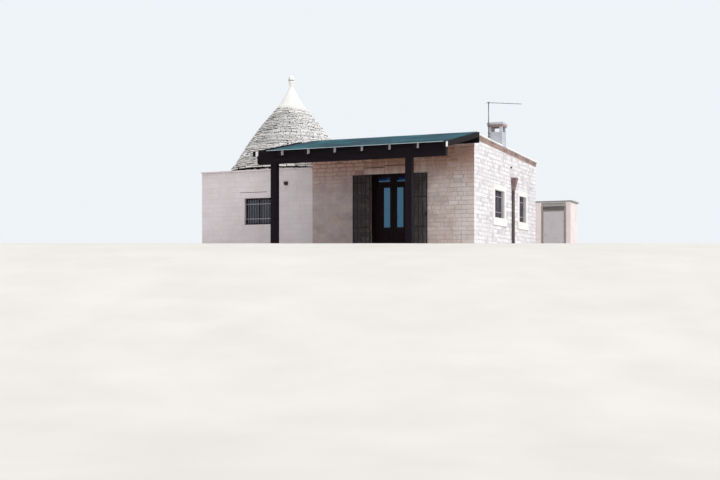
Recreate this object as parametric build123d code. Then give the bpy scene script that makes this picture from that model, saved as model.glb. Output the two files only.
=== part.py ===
from build123d import *
import os
from math import cos, hypot, radians, sin

# A trullo house in millimetres: a square stone body under a cone of dry stones, with a
# flat-roofed wing beside it, a timber lean-to in front and a small store at the rear corner.
# Origin: on the ground under the tip of the cone. +X runs along the front towards the wing,
# +Y runs into the house and +Z is up.

# Plan of the trullo body and of the wing
cone_to_left_face = 2200
cone_to_joint = 2160
cone_to_front_face = 2650
cone_to_back_face = 2650
trullo_wall = 750
wing_width = 5730
wing_depth = 7700
wing_wall = 500
floor_thickness = 100

# Heights of the trullo body
trullo_wall_height = 2540
terrace_thickness = 220
cornice_thickness = 60
cornice_overhang = 45
cornice_seat = 130

# The cone: a low drum, a ring of eaves stones, a bulging flank and a plastered cap
dome_radius = 1400
drum_radius = 2020
drum_height = 200
eaves_radius = 2220
eaves_thickness = 70
cone_foot_radius = 2070
cone_foot_rise = 150
cone_height = 2320
cone_top_radius = 490
cone_bulge = 80
cone_steps = 12
cone_courses = 34
cone_sides = 40
dome_bulge = 200
dome_steps = 4
smoke_hole_radius = 200
cone_segments = 8
segment_joint_angle = 0.1
cap_height = 750
cap_hollow = 18
cap_steps = 3
neck_radius = 75

# The pinnacle: a goblet with a domed lid
goblet_radius = 116
goblet_height = 190
goblet_rim = 50
goblet_hollow = 10
goblet_steps = 3
lid_bulge = 45
lid_gap_radius = 92
lid_gap_height = 18
lid_height = 185

# Passage between the trullo and the wing
passage_width = 900
passage_spring = 1650

# Roof of the wing
parapet_height = 3640
parapet_fall = 170
roof_slab_level = 3000
roof_slab_thickness = 250
coping_thickness = 60
coping_overhang = 90
band_height = 150
band_overhang = 40

# French door and its opening
joint_to_door = 2160
door_width = 1340
door_height = 2480
door_setback = 310
frame_depth = 60
frame_jamb = 120
frame_head = 70
transom_height = 2155
transom_bar = 80
transom_mullion = 220
leaf_thickness = 50
leaf_setback = 5
leaf_side_gap = 5
leaf_middle_gap = 12
leaf_floor_gap = 15
leaf_hinge_stile = 185
leaf_meeting_stile = 107
leaf_top_rail = 90
leaf_bottom_rail = 600
pane_thickness = 6

# Lift-off hinges
barrel_radius = 10
barrel_length = 55
hinge_pin_radius = 5
pin_clearance = 0.3
pin_reach = 45
pin_end_gap = 3
barrel_standoff = 2
lug_margin = 5
hinge_heights = (400, 1800)

# Steel grille gates that fold back against the wall
gate_bottom = 60
gate_top = 2460
gate_leaf_width = 620
gate_standoff = 40
gate_pin_inset = 5
gate_eye_offset = 35
gate_stile = 32
gate_thickness = 30
gate_bar = 14
gate_bars = 3
gate_rail = 20
gate_lock_rail = 45
gate_rail_heights = (725, 2200)
gate_lock_rail_height = 1690
gate_hinge_heights = (320, 1950)
eye_radius = 15
pintle_radius = 8
eye_length = 45
pintle_length = 40
pintle_pin = 60
pintle_clearance = 1
pintle_arm = 16
lock_width = 75
lock_height = 130
lock_depth = 42
lock_centre_height = 1110
handle_height = 1130
handle_length = 90
handle_thickness = 12
handle_reach = 45

# Windows
trullo_window_width = 1080
trullo_window_sill = 910
trullo_window_head = 1830
trullo_window_offset = 60
front_window_width = 1150
rear_window_width = 950
front_window_from_corner = 2280
rear_window_from_corner = 5360
side_window_sill = 1100
side_window_head = 2050
window_setback = 115
sash_depth = 50
sash_bar = 55
surround_width = 190
surround_proud = 15
sill_height = 260
sill_proud = 45
sill_horn = 40

# Chimney, built up on the side wall
chimney_from_corner = 2980
chimney_width = 490
chimney_depth = 490
chimney_proud = 50
chimney_rise = 445
chimney_pier = 95
chimney_pier_height = 180
chimney_flue = 230
flue_depth = 300
cap_course = 70
cap_slab = 80
cap_course_overhang = 25
cap_slab_overhang = 60

# Aerial on the chimney
mast_radius = 16
mast_below_shoulder = 205
mast_length = 1230
mast_inset = 35
mast_gap = 2
clamp_width = 44
clamp_height = 25
clamp_margin = 40
boom_tail = 60
boom_length = 1200
boom_size = 18
boom_angle = 37
reflector_length = 420
director_length = 170
element_size = 10
directors = 7

# Downpipe and its hopper head
pipe_from_corner = 4390
pipe_radius = 50
pipe_wall = 3
pipe_standoff = 10
hopper_bottom = 2150
hopper_top = 2610
hopper_width = 300
hopper_reach = 200
hopper_wall = 6
bracket_size = 30
bracket_heights = (500, 1600)

# Lean-to over the front of the wing
lean_to_reach = 3000
post_size = 205
joint_to_post = 142
corner_to_post = 1061
beam_bottom = 2620
beam_height = 290
beam_width = 200
beam_past_joint = 430
beam_past_corner = 110
rafter_width = 100
rafter_depth = 165
rafter_notch = 15
rafter_tail = 170
rafter_count = 8
rafter_block_thickness = 40
first_rafter_past_joint = 448
last_rafter_past_corner = 129
sheet_below_coping = 5
wall_plate_depth = 180
wall_plate_width = 100
sheet_thickness = 6
sheet_front_overhang = 25

# Wall lamp beside the joint
lamp_from_joint = 1010
lamp_level = 2300
lamp_width = 150
lamp_height = 130
lamp_reach = 110
lamp_plate = 12
lamp_rim = 14
lamp_taper = 14

# Store at the rear corner of the wing
store_width = 1570
store_depth = 1170
store_past_corner = 1350
store_height = 1950
store_left_wall = 200
store_right_wall = 170
store_front_wall = 200
store_back_wall = 200
store_roof_thickness = 60
store_roof_overhang = 45
store_floor = 50
store_opening_from_corner = 220
store_opening_width = 960
store_lintel = 120
store_frame = 80
store_frame_depth = 60
store_frame_setback = 0
store_sheet = 3
store_vent_height = 220
store_vent_slats = 4
store_slat_thickness = 10
store_slat_depth = 40
store_door_thickness = 30
store_door_gap = 5
store_hinge_heights = (350, 1200)
store_door_recess = 3
store_handle_level = 705
store_handle_inset = 80
store_rose_width = 30
store_rose_height = 90
store_rose_thickness = 8
store_grip_width = 12
store_grip_height = 60
store_grip_reach = 22

# Faces that several pieces share
left = -cone_to_left_face
joint = cone_to_joint
front = -cone_to_front_face
back = cone_to_back_face
side = joint + wing_width
wing_back = front + wing_depth
terrace_top = trullo_wall_height + terrace_thickness
eaves_level = terrace_top + drum_height
cone_top = terrace_top + cone_height + drum_height + eaves_thickness
door_left = joint + joint_to_door
door_right = door_left + door_width
door_middle = (door_left + door_right) / 2
beam_middle = front - lean_to_reach
beam_top = beam_bottom + beam_height

# How far a cut runs past the piece it cuts, and the fine joint between neighbouring stones
cut_past = 1
stone_joint = 1


def block(x, y, z):
    """A box between two values on each axis."""
    sizes = [high - low for low, high in (x, y, z)]
    return Pos(x[0], y[0], z[0]) * Box(*sizes, align=(Align.MIN, Align.MIN, Align.MIN))


def around(middle, size):
    """A range of a given size about its middle."""
    return (middle - size / 2, middle + size / 2)


def grown(pair, margin):
    """A range made longer by a margin at both ends."""
    return (pair[0] - margin, pair[1] + margin)


def height_at(level, y):
    """A level that is a plain height, or a line that depends on y."""
    return level(y) if callable(level) else level


def sloped_block(x, y, low, high):
    """A block along X whose underside and top may slope with y."""
    near, far = y
    outline = [
        (near, height_at(low, near)),
        (far, height_at(low, far)),
        (far, height_at(high, far)),
        (near, height_at(high, near)),
    ]
    face = Plane.YZ.offset(x[0]) * make_face(Polyline(*outline, close=True))
    return extrude(face, x[1] - x[0], dir=(1, 0, 0))


def upright(x, y, radius, z):
    """A vertical round bar between two heights."""
    return Pos(x, y, z[0]) * Cylinder(radius, z[1] - z[0], align=(Align.CENTER, Align.CENTER, Align.MIN))


def bowed(start, end, bow, steps):
    """Points from start to end in straight steps that bow out to the right of the line by bow."""
    run, rise = end[0] - start[0], end[1] - start[1]
    length = hypot(run, rise)
    points = []
    for number in range(steps + 1):
        along = number / steps
        out = 4 * bow * along * (1 - along)
        points.append(
            (start[0] + run * along + out * rise / length, start[1] + rise * along - out * run / length)
        )
    return points


def turned(points):
    """The face inside the points, in the plane of X and Z, ready to revolve."""
    return Plane.XZ * make_face(Polyline(*points, close=True))


def wall_top(y):
    """Height of the wing's walls, which fall a little towards the back."""
    return parapet_height - parapet_fall * (y - front) / wing_depth


def coping_top(y):
    return wall_top(y) + coping_thickness


def band_bottom(y):
    return wall_top(y) - band_height


# Trullo body

trullo_inside_x = (left + trullo_wall, joint - trullo_wall)
trullo_inside_y = (front + trullo_wall, back - trullo_wall)
trullo_body_z = (0, trullo_wall_height)
window_x = (
    trullo_window_offset - trullo_window_width / 2,
    trullo_window_offset + trullo_window_width / 2,
)
window_z = (trullo_window_sill, trullo_window_head)


def trullo_front_wall():
    wall = block((left, joint), (front, trullo_inside_y[0]), trullo_body_z)
    return wall - block(window_x, (front - cut_past, trullo_inside_y[0] + cut_past), window_z)


def trullo_left_wall():
    return block((left, trullo_inside_x[0]), trullo_inside_y, trullo_body_z)


def trullo_back_wall():
    return block((left, joint), (trullo_inside_y[1], back), trullo_body_z)


def passage(x):
    """The arched way through the walls between the trullo and the wing."""
    half = passage_width / 2
    shaft = block(x, (-half, half), (floor_thickness, passage_spring))
    arch = Pos(x[0], 0, passage_spring) * Rot(0, 90, 0) * Cylinder(
        half, x[1] - x[0], align=(Align.CENTER, Align.CENTER, Align.MIN)
    )
    return shaft + arch


def trullo_inner_wall():
    x = (trullo_inside_x[1], joint)
    wall = block(x, trullo_inside_y, trullo_body_z)
    foot = block(x, (-passage_width / 2, passage_width / 2), (-cut_past, floor_thickness))
    return wall - passage((x[0] - cut_past, x[1] + cut_past)) - foot


def trullo_floor():
    room = block(trullo_inside_x, trullo_inside_y, (0, floor_thickness))
    way = block(
        (trullo_inside_x[1], joint + wing_wall),
        (-passage_width / 2, passage_width / 2),
        (0, floor_thickness),
    )
    return room + way


def trullo_terrace():
    slab = block((left, joint), (front, back), (trullo_wall_height, terrace_top))
    return slab - upright(0, 0, dome_radius, (trullo_wall_height - cut_past, terrace_top + cut_past))


def trullo_cornice():
    """Thin flat stones along the front, the back and the left edge of the terrace."""
    z = (terrace_top, terrace_top + cornice_thickness)
    x = (left - cornice_overhang, joint)
    front_row = block(x, (front - cornice_overhang, front + cornice_seat), z)
    back_row = block(x, (back - cornice_seat, back + cornice_overhang), z)
    left_row = block(
        (left - cornice_overhang, left + cornice_seat),
        (front + cornice_seat + stone_joint, back - cornice_seat - stone_joint),
        z,
    )
    return front_row + back_row + left_row


# Cone


def reach_at(path, height):
    """Distance from the axis of a rising line of points, at a height."""
    for (near, low), (far, high) in zip(path, path[1:]):
        if low <= height <= high:
            return near + (far - near) * (height - low) / (high - low)
    raise ValueError(f"no part of the line is at a height of {height}")


def ring_reach(radius, angle, first_corner):
    """Distance from the axis to the flat sides of a ring of stones, in a direction."""
    side_angle = 360 / cone_sides
    from_middle = (angle - first_corner) % side_angle - side_angle / 2
    return radius * cos(radians(side_angle / 2)) / cos(radians(from_middle))


def ring_sector(radius, z, first_corner):
    """A layer from the axis out to flat-sided stones, as wide as one upright segment."""
    side_angle = 360 / cone_sides
    end = 360 / cone_segments - segment_joint_angle
    corners = [first_corner + side_angle * number for number in range(cone_sides // cone_segments + 1)]
    angles = [0] + [angle for angle in corners if 0 < angle < end] + [end]
    outline = [(0, 0)]
    for angle in angles:
        reach = ring_reach(radius, angle, first_corner)
        outline.append((reach * cos(radians(angle)), reach * sin(radians(angle))))
    face = Plane.XY.offset(z[0]) * make_face(Polyline(*outline, close=True))
    return extrude(face, z[1] - z[0])


def cone_roof():
    """The hollow cone: drum, eaves and set-back courses, in upright segments with fine joints.

    The eaves stones stop at the wing's wall.
    """
    eaves_top = eaves_level + eaves_thickness
    foot = (cone_foot_radius, eaves_top + cone_foot_rise)
    flank = [(eaves_radius, eaves_top)] + bowed(foot, (cone_top_radius, cone_top), cone_bulge, cone_steps)
    layers = [(drum_radius, (terrace_top, eaves_level)), (eaves_radius, (eaves_level, eaves_top))]
    course_height = (cone_top - eaves_top) / cone_courses
    for number in range(cone_courses):
        low = eaves_top + course_height * number
        layers.append((reach_at(flank, low + course_height / 2), (low, low + course_height)))
    half_side = 180 / cone_sides
    stones = [ring_sector(radius, z, half_side * (number % 2)) for number, (radius, z) in enumerate(layers)]
    dome = bowed((dome_radius, terrace_top), (smoke_hole_radius, cone_top), dome_bulge, dome_steps)
    axis_foot, axis_head = (0, terrace_top - cut_past), (0, cone_top + cut_past)
    spring, hole = (dome_radius, axis_foot[1]), (smoke_hole_radius, axis_head[1])
    room = revolve(turned([axis_foot, spring] + dome + [hole, axis_head]), Axis.Z)
    segment = (Part() + stones) - room
    turn = 360 / cone_segments
    cone = Part() + [Rot(0, 0, turn * number) * segment for number in range(cone_segments)]
    beyond = (joint, joint + eaves_radius)
    return cone - block(beyond, (-eaves_radius, eaves_radius), (terrace_top, cone_top))


def cone_cap():
    """The plastered tip, a little hollow in its flank."""
    foot = (cone_top_radius, cone_top)
    neck = (neck_radius, cone_top + cap_height)
    profile = turned([(0, cone_top)] + bowed(foot, neck, -cap_hollow, cap_steps) + [(0, neck[1])])
    return revolve(profile, Axis.Z)


def pinnacle():
    """A goblet that widens from the neck, and a domed lid set in on its rim."""
    base = cone_top + cap_height
    rim = base + goblet_height
    seat = rim + goblet_rim
    lid = seat + lid_gap_height
    bowl = bowed((neck_radius, base), (goblet_radius, rim), -goblet_hollow, goblet_steps)
    waist = [(goblet_radius, seat), (lid_gap_radius, seat), (lid_gap_radius, lid)]
    dome = bowed((goblet_radius, lid), (0, lid + lid_height), lid_bulge, goblet_steps)
    profile = turned([(0, base)] + bowl + waist + dome)
    return revolve(profile, Axis.Z)


# Walls, floor and roof of the wing

inside_x = (joint + wing_wall, side - wing_wall)
inside_y = (front + wing_wall, wing_back - wing_wall)
side_windows = [
    (front + front_window_from_corner, front_window_width),
    (front + rear_window_from_corner, rear_window_width),
]


def wing_front_wall_left():
    return sloped_block((joint, door_left), (front, inside_y[0]), 0, wall_top)


def wing_front_wall_right():
    return sloped_block((door_right, side), (front, inside_y[0]), 0, wall_top)


def wing_front_wall_over_door():
    return sloped_block((door_left, door_right), (front, inside_y[0]), door_height, wall_top)


def wing_side_wall():
    wall = sloped_block((inside_x[1], side), inside_y, 0, wall_top)
    through = grown((inside_x[1], side), cut_past)
    for start, width in side_windows:
        wall -= block(through, (start, start + width), (side_window_sill, side_window_head))
    return wall


def wing_back_wall():
    return sloped_block((joint, side), (inside_y[1], wing_back), 0, wall_top)


def wing_left_wall():
    x = (joint, inside_x[0])
    wall = sloped_block(x, inside_y, 0, wall_top)
    foot = block(x, (-passage_width / 2, passage_width / 2), (-cut_past, floor_thickness))
    return wall - passage((x[0] - cut_past, x[1] + cut_past)) - foot


def wing_floor():
    return block(inside_x, inside_y, (0, floor_thickness))


def wing_roof_slab():
    return block(inside_x, inside_y, (roof_slab_level, roof_slab_level + roof_slab_thickness))


def door_threshold():
    return block((door_left, door_right), (front, inside_y[0]), (0, floor_thickness))


chimney_y = (front + chimney_from_corner, front + chimney_from_corner + chimney_depth)
chimney_x = (side + chimney_proud - chimney_width, side + chimney_proud)
chimney_shoulder = parapet_height + chimney_rise
mast_bottom = chimney_shoulder - mast_below_shoulder
mast_top = mast_bottom + mast_length


def roof_coping():
    """Flat stones on the parapets: flush in front under the lean-to, jutting out elsewhere."""
    outer_left, outer_side = joint - coping_overhang, side + coping_overhang
    outer_back = wing_back + coping_overhang
    rows = [
        ((outer_left, outer_side), (front, inside_y[0])),
        ((outer_left, outer_side), (inside_y[1], outer_back)),
        ((outer_left, inside_x[0]), (inside_y[0] + stone_joint, inside_y[1] - stone_joint)),
        ((inside_x[1], outer_side), (inside_y[0] + stone_joint, chimney_y[0])),
        ((inside_x[1], outer_side), (chimney_y[1], inside_y[1] - stone_joint)),
    ]
    return Part() + [sloped_block(x, y, wall_top, coping_top) for x, y in rows]


def cornice_band():
    """A course of thin brown slabs under the coping, on the sides and at the back."""
    rows = [
        ((joint - band_overhang, joint), (front, wing_back)),
        ((side, side + band_overhang), (front, wing_back)),
        ((joint + stone_joint, side - stone_joint), (wing_back, wing_back + band_overhang)),
    ]
    return Part() + [sloped_block(x, y, band_bottom, wall_top) for x, y in rows]


# French door

frame_y = (front + door_setback, front + door_setback + frame_depth)
leaf_y = (frame_y[0] + leaf_setback, frame_y[0] + leaf_setback + leaf_thickness)
leaf_x = (door_left + frame_jamb + leaf_side_gap, door_middle - leaf_middle_gap / 2)
leaf_z = (floor_thickness + leaf_floor_gap, transom_height - leaf_side_gap)
leaf_hinge_x = door_left + frame_jamb + leaf_side_gap / 2
leaf_hinge_y = frame_y[1] + barrel_radius + barrel_standoff
glass_x = (leaf_x[0] + leaf_hinge_stile, leaf_x[1] - leaf_meeting_stile)
glass_z = (leaf_z[0] + leaf_bottom_rail, leaf_z[1] - leaf_top_rail)
transom_z = (transom_height + transom_bar, door_height - frame_head)


def mirrored(shape):
    """The same piece on the other side of the door's middle."""
    return mirror(shape, about=Plane.YZ.offset(door_middle))


def fixed_barrel(x, y, z):
    """The lower half of a lift-off hinge, with its pin."""
    pin_z = (z + barrel_length, z + barrel_length + pin_reach)
    return upright(x, y, barrel_radius, (z, pin_z[0])) + upright(x, y, hinge_pin_radius, pin_z)


def moving_barrel(x, y, z):
    """The upper half of a lift-off hinge, which drops over the pin."""
    low = z + barrel_length + pin_clearance
    barrel = upright(x, y, barrel_radius, (low, low + barrel_length))
    bore = upright(x, y, hinge_pin_radius + pin_clearance, (z, low + pin_reach + pin_end_gap))
    return barrel - bore


def lug(x, y, z):
    """A short plate between a hinge barrel and what carries it, inset at both ends."""
    return block(x, y, (z + lug_margin, z + barrel_length - lug_margin))


def door_frame():
    """Jambs, head, transom bar and the short mullion above it, with the fixed hinge halves."""
    opening = (door_left + frame_jamb, door_right - frame_jamb)
    through = grown(frame_y, cut_past)
    frame = block((door_left, door_right), frame_y, (floor_thickness, door_height))
    frame -= block(opening, through, (floor_thickness - cut_past, transom_height))
    for pane in transom_panes_x:
        frame -= block(pane, through, transom_z)
    for z in hinge_heights:
        plate = lug((leaf_hinge_x - 2 * barrel_radius, leaf_hinge_x), (frame_y[1], leaf_hinge_y), z)
        half = fixed_barrel(leaf_hinge_x, leaf_hinge_y, z) + plate
        frame += half
        frame += mirrored(half)
    return frame


transom_panes_x = [
    (door_left + frame_jamb, door_middle - transom_mullion / 2),
    (door_middle + transom_mullion / 2, door_right - frame_jamb),
]


def transom_glass():
    middle = (frame_y[0] + frame_y[1]) / 2
    pane_y = (middle - pane_thickness / 2, middle + pane_thickness / 2)
    return Part() + [block(x, pane_y, transom_z) for x in transom_panes_x]


def door_leaf_left():
    """A glazed leaf with a solid lower panel, hung on the jamb's hinges."""
    leaf = block(leaf_x, leaf_y, leaf_z)
    leaf -= block(glass_x, (leaf_y[0] - cut_past, leaf_y[1] + cut_past), glass_z)
    for z in hinge_heights:
        low = z + barrel_length + pin_clearance
        plate = lug((leaf_hinge_x, leaf_hinge_x + 2 * barrel_radius), (leaf_y[1], leaf_hinge_y), low)
        bore = upright(leaf_hinge_x, leaf_hinge_y, barrel_radius, (low, low + barrel_length))
        leaf += (plate - bore) + moving_barrel(leaf_hinge_x, leaf_hinge_y, z)
    return leaf


def door_leaf_right():
    return mirrored(door_leaf_left())


def door_glass_left():
    middle = (leaf_y[0] + leaf_y[1]) / 2
    return block(glass_x, (middle - pane_thickness / 2, middle + pane_thickness / 2), glass_z)


def door_glass_right():
    return mirrored(door_glass_left())


# Grille gates

gate_y = front - gate_standoff
gate_pin_x = door_left + gate_pin_inset
gate_leaf_x = (gate_pin_x - gate_eye_offset - gate_leaf_width, gate_pin_x - gate_eye_offset)
gate_leaf_y = (gate_y - gate_thickness / 2, gate_y + gate_thickness / 2)


def grille_leaf_left():
    """Two stiles, rails and upright bars in one welded leaf, with its two hinge eyes."""
    leaf = Part()
    for x in ((gate_leaf_x[0], gate_leaf_x[0] + gate_stile), (gate_leaf_x[1] - gate_stile, gate_leaf_x[1])):
        leaf += block(x, gate_leaf_y, (gate_bottom, gate_top))
    rails = [(gate_bottom + gate_rail / 2, gate_rail), (gate_top - gate_rail / 2, gate_rail)]
    rails += [(z, gate_rail) for z in gate_rail_heights]
    rails += [(gate_lock_rail_height, gate_lock_rail)]
    for z, size in rails:
        leaf += block(gate_leaf_x, around(gate_y, gate_rail), around(z, size))
    pitch = (gate_leaf_width - gate_stile) / (gate_bars + 1)
    for number in range(1, gate_bars + 1):
        x = gate_leaf_x[0] + gate_stile / 2 + pitch * number
        leaf += block(around(x, gate_bar), around(gate_y, gate_bar), (gate_bottom, gate_top))
    for z in gate_hinge_heights:
        low = z + pintle_length + pin_clearance
        eye = upright(gate_pin_x, gate_y, eye_radius, (low, low + eye_length))
        strap = block((gate_leaf_x[1], gate_pin_x), around(gate_y, gate_bar), (low, low + eye_length))
        bore_z = (z, low + eye_length + cut_past)
        bore = upright(gate_pin_x, gate_y, pintle_radius + pintle_clearance, bore_z)
        leaf += (eye + strap) - bore
    return leaf


def grille_leaf_right():
    """The leaf that carries the lock case and the lever."""
    leaf = mirrored(grille_leaf_left())
    edge = 2 * door_middle - gate_leaf_x[0]
    lock_z = around(lock_centre_height, lock_height)
    leaf += block((edge - lock_width, edge), around(gate_y, lock_depth), lock_z)
    lever_x = edge - lock_width / 2
    lever_y = gate_y - handle_reach
    lever_z = around(handle_height, handle_thickness)
    leaf += block(around(lever_x, handle_thickness), (lever_y, gate_y), lever_z)
    leaf += block(
        (lever_x - handle_length, lever_x + handle_thickness / 2), around(lever_y, handle_thickness), lever_z
    )
    return leaf


def grille_pintles():
    """Pins on short arms, set in the wall on both sides of the door."""
    pintles = Part()
    for z in gate_hinge_heights:
        shoulder = upright(gate_pin_x, gate_y, eye_radius, (z, z + pintle_length))
        pin = upright(gate_pin_x, gate_y, pintle_radius, (z + pintle_length, z + pintle_length + pintle_pin))
        arm = block((door_left - pintle_arm, door_left), (gate_y, front), (z, z + pintle_length))
        pintles += shoulder + pin + arm
        pintles += mirrored(shoulder + pin + arm)
    return pintles


# Windows


def sash(x, z):
    """A two-light timber sash, drawn in the plane of X and Z at y = 0, and its two panes."""
    frame = block(x, (0, sash_depth), z)
    middle = (x[0] + x[1]) / 2
    panes = []
    for low, high in ((x[0] + sash_bar, middle - sash_bar / 2), (middle + sash_bar / 2, x[1] - sash_bar)):
        light = block((low, high), (-cut_past, sash_depth + cut_past), (z[0] + sash_bar, z[1] - sash_bar))
        frame -= light
        panes.append(
            block((low, high), around(sash_depth / 2, pane_thickness), (z[0] + sash_bar, z[1] - sash_bar))
        )
    return frame, panes


def placed_sashes():
    """Every window's sash with its panes, each in its own opening."""
    frame, panes = sash(window_x, window_z)
    at = Pos(0, front + window_setback, 0)
    pieces = [(at * frame, [at * pane for pane in panes])]
    for start, width in side_windows:
        frame, panes = sash((start, start + width), (side_window_sill, side_window_head))
        at = Pos(side - window_setback, 0, 0) * Rot(0, 0, 90)
        pieces.append((at * frame, [at * pane for pane in panes]))
    return pieces


def window_sashes():
    return Part() + [frame for frame, panes in placed_sashes()]


def window_glass():
    return Part() + [pane for frame, panes in placed_sashes() for pane in panes]


def side_window_surrounds():
    """A smooth stone border round each side window, with a deep sill block below it."""
    surrounds = Part()
    for start, width in side_windows:
        outer_y = (start - surround_width, start + width + surround_width)
        hole_y = (start, start + width)
        border = block(
            (side, side + surround_proud), outer_y, (side_window_sill, side_window_head + surround_width)
        )
        through = (side - cut_past, side + surround_proud + cut_past)
        border -= block(through, hole_y, (side_window_sill - cut_past, side_window_head))
        sill = block(
            (side, side + sill_proud),
            (outer_y[0] - sill_horn, outer_y[1] + sill_horn),
            (side_window_sill - sill_height, side_window_sill),
        )
        surrounds += border + sill
    return surrounds


# Chimney and aerial


def chimney_stack():
    """A square stack on the wall's top, ending in four short piers round the open flue."""
    stack = sloped_block(chimney_x, chimney_y, wall_top, chimney_shoulder)
    middle_x, middle_y = sum(chimney_x) / 2, sum(chimney_y) / 2
    stack -= block(
        around(middle_x, chimney_flue),
        around(middle_y, chimney_flue),
        (chimney_shoulder - flue_depth, chimney_shoulder + cut_past),
    )
    pier_z = (chimney_shoulder, chimney_shoulder + chimney_pier_height)
    for x in (chimney_x[0], chimney_x[1] - chimney_pier):
        for y in (chimney_y[0], chimney_y[1] - chimney_pier):
            stack += block((x, x + chimney_pier), (y, y + chimney_pier), pier_z)
    return stack


def chimney_cap():
    """A jutting course and a wider slab over the piers."""
    low = chimney_shoulder + chimney_pier_height
    cap = Part()
    for overhang, thickness in ((cap_course_overhang, cap_course), (cap_slab_overhang, cap_slab)):
        cap += block(grown(chimney_x, overhang), grown(chimney_y, overhang), (low, low + thickness))
        low += thickness
    return cap


def aerial():
    """A mast strapped to the stack, and a boom with its reflector and directors."""
    x = chimney_x[0] + mast_inset
    y = chimney_y[0] - cap_slab_overhang - mast_radius - mast_gap
    mast = upright(x, y, mast_radius, (mast_bottom, mast_top))
    clamps = Part()
    for z in (mast_bottom + clamp_margin, chimney_shoulder - clamp_margin):
        clamps += block(around(x, clamp_width), (y - mast_radius, chimney_y[0]), around(z, clamp_height))
    thin = around(0, element_size)
    array = block((-boom_tail, boom_length), around(0, boom_size), around(0, boom_size))
    array += block(around(2 * element_size - boom_tail, element_size), around(0, reflector_length), thin)
    pitch = (boom_length - element_size) / directors
    for number in range(1, directors + 1):
        array += block(around(pitch * number, element_size), around(0, director_length), thin)
    array = Pos(x, y, mast_top - boom_size) * Rot(0, 0, boom_angle) * array
    return mast + clamps + array


# Rainwater

pipe_x = side + pipe_standoff + pipe_radius
pipe_y = front + pipe_from_corner


def downpipe():
    """A round pipe from the hopper to the ground, held by two brackets."""
    pipe = upright(pipe_x, pipe_y, pipe_radius, (0, hopper_bottom))
    for z in bracket_heights:
        pipe += block((side, pipe_x), around(pipe_y, bracket_size), around(z, bracket_size))
    return pipe - upright(pipe_x, pipe_y, pipe_radius - pipe_wall, (-cut_past, hopper_bottom + cut_past))


def funnel(z, reach, standoff, half_widths):
    """A block flat at the wall side, whose outer face and two sides slope between two heights."""
    near = side + standoff
    from_side = make_face(
        Polyline(
            (near, z[0]), (side + reach[0], z[0]), (side + reach[1], z[1]), (near, z[1]), close=True
        )
    )
    from_front = make_face(
        Polyline(
            (pipe_y - half_widths[0], z[0]),
            (pipe_y + half_widths[0], z[0]),
            (pipe_y + half_widths[1], z[1]),
            (pipe_y - half_widths[1], z[1]),
            close=True,
        )
    )
    across = extrude(Plane.XZ.offset(-pipe_y) * from_side, half_widths[1], both=True)
    along = extrude(Plane.YZ.offset(near) * from_front, max(reach), dir=(1, 0, 0))
    return across & along


def rain_hopper():
    """A funnel that is flat against the wall and tapers down to the pipe."""
    throat = pipe_standoff + 2 * pipe_radius
    floor = hopper_bottom + hopper_wall
    body = funnel(
        (hopper_bottom, hopper_top), (throat, hopper_reach), 0, (pipe_radius, hopper_width / 2)
    )
    inside = funnel(
        (floor, hopper_top + cut_past),
        (throat - hopper_wall, hopper_reach - hopper_wall),
        hopper_wall,
        (pipe_radius - hopper_wall, hopper_width / 2 - hopper_wall),
    )
    outlet_z = (hopper_bottom - cut_past, floor + hopper_wall)
    outlet = upright(pipe_x, pipe_y, pipe_radius - hopper_wall, outlet_z)
    return body - inside - outlet


# Lean-to

rafter_top_at_beam = beam_top - rafter_notch + rafter_depth
sheet_seat = parapet_height + coping_thickness - sheet_below_coping - sheet_thickness
roof_climb = sheet_seat - rafter_top_at_beam
roof_slope = roof_climb / lean_to_reach
first_rafter = joint - first_rafter_past_joint
last_rafter = side + last_rafter_past_corner
rafter_spacing = (last_rafter - first_rafter) / (rafter_count - 1)


def rafter_top(y):
    """Height of the plane that the roof sheet lies on."""
    return rafter_top_at_beam + roof_slope * (y - beam_middle)


def rafter_underside(y):
    return rafter_top(y) - rafter_depth


def beam_top_at(y):
    """Height of the beam, the same at every distance from the wall."""
    return beam_top


def sheet_top(y):
    return rafter_top(y) + sheet_thickness


def lean_to_post(x):
    return block(around(x, post_size), around(beam_middle, post_size), (0, beam_bottom))


def post_left():
    return lean_to_post(joint + joint_to_post)


def post_right():
    return lean_to_post(side - corner_to_post)


def front_beam():
    x = (joint - beam_past_joint, side + beam_past_corner)
    return block(x, around(beam_middle, beam_width), (beam_bottom, beam_top))


plate_y = (front - wall_plate_width, front)
plate_top = rafter_underside(plate_y[0]) + rafter_notch


def wall_plate():
    """The timber along the wall that carries the rafters' upper ends."""
    x = (first_rafter - rafter_width / 2, last_rafter + rafter_width / 2)
    return block(x, plate_y, (plate_top - wall_plate_depth, plate_top))


def rafters():
    """Sloping rafters notched over the beam and over the wall plate."""
    tail = beam_middle - beam_width / 2 - rafter_tail
    seats = front_beam() + wall_plate()
    row = []
    for number in range(rafter_count):
        x = around(first_rafter + rafter_spacing * number, rafter_width)
        row.append(sloped_block(x, (tail, front), rafter_underside, rafter_top) - seats)
    return Part() + row


def rafter_blocks():
    """Upright boards between the rafters that close the gap between the beam and the sheet."""
    face = beam_middle - beam_width / 2
    y = (face, face + rafter_block_thickness)
    row = []
    for number in range(rafter_count - 1):
        rafter = first_rafter + rafter_spacing * number
        x = (rafter + rafter_width / 2, rafter + rafter_spacing - rafter_width / 2)
        row.append(sloped_block(x, y, beam_top_at, rafter_top))
    return Part() + row


def roof_sheet():
    """A thin sheet that lies on the rafters, from beyond their tails to the parapet."""
    tail = beam_middle - beam_width / 2 - rafter_tail - sheet_front_overhang
    return sloped_block((joint, side + beam_past_corner), (tail, front), rafter_top, sheet_top)


# Lamp


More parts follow.
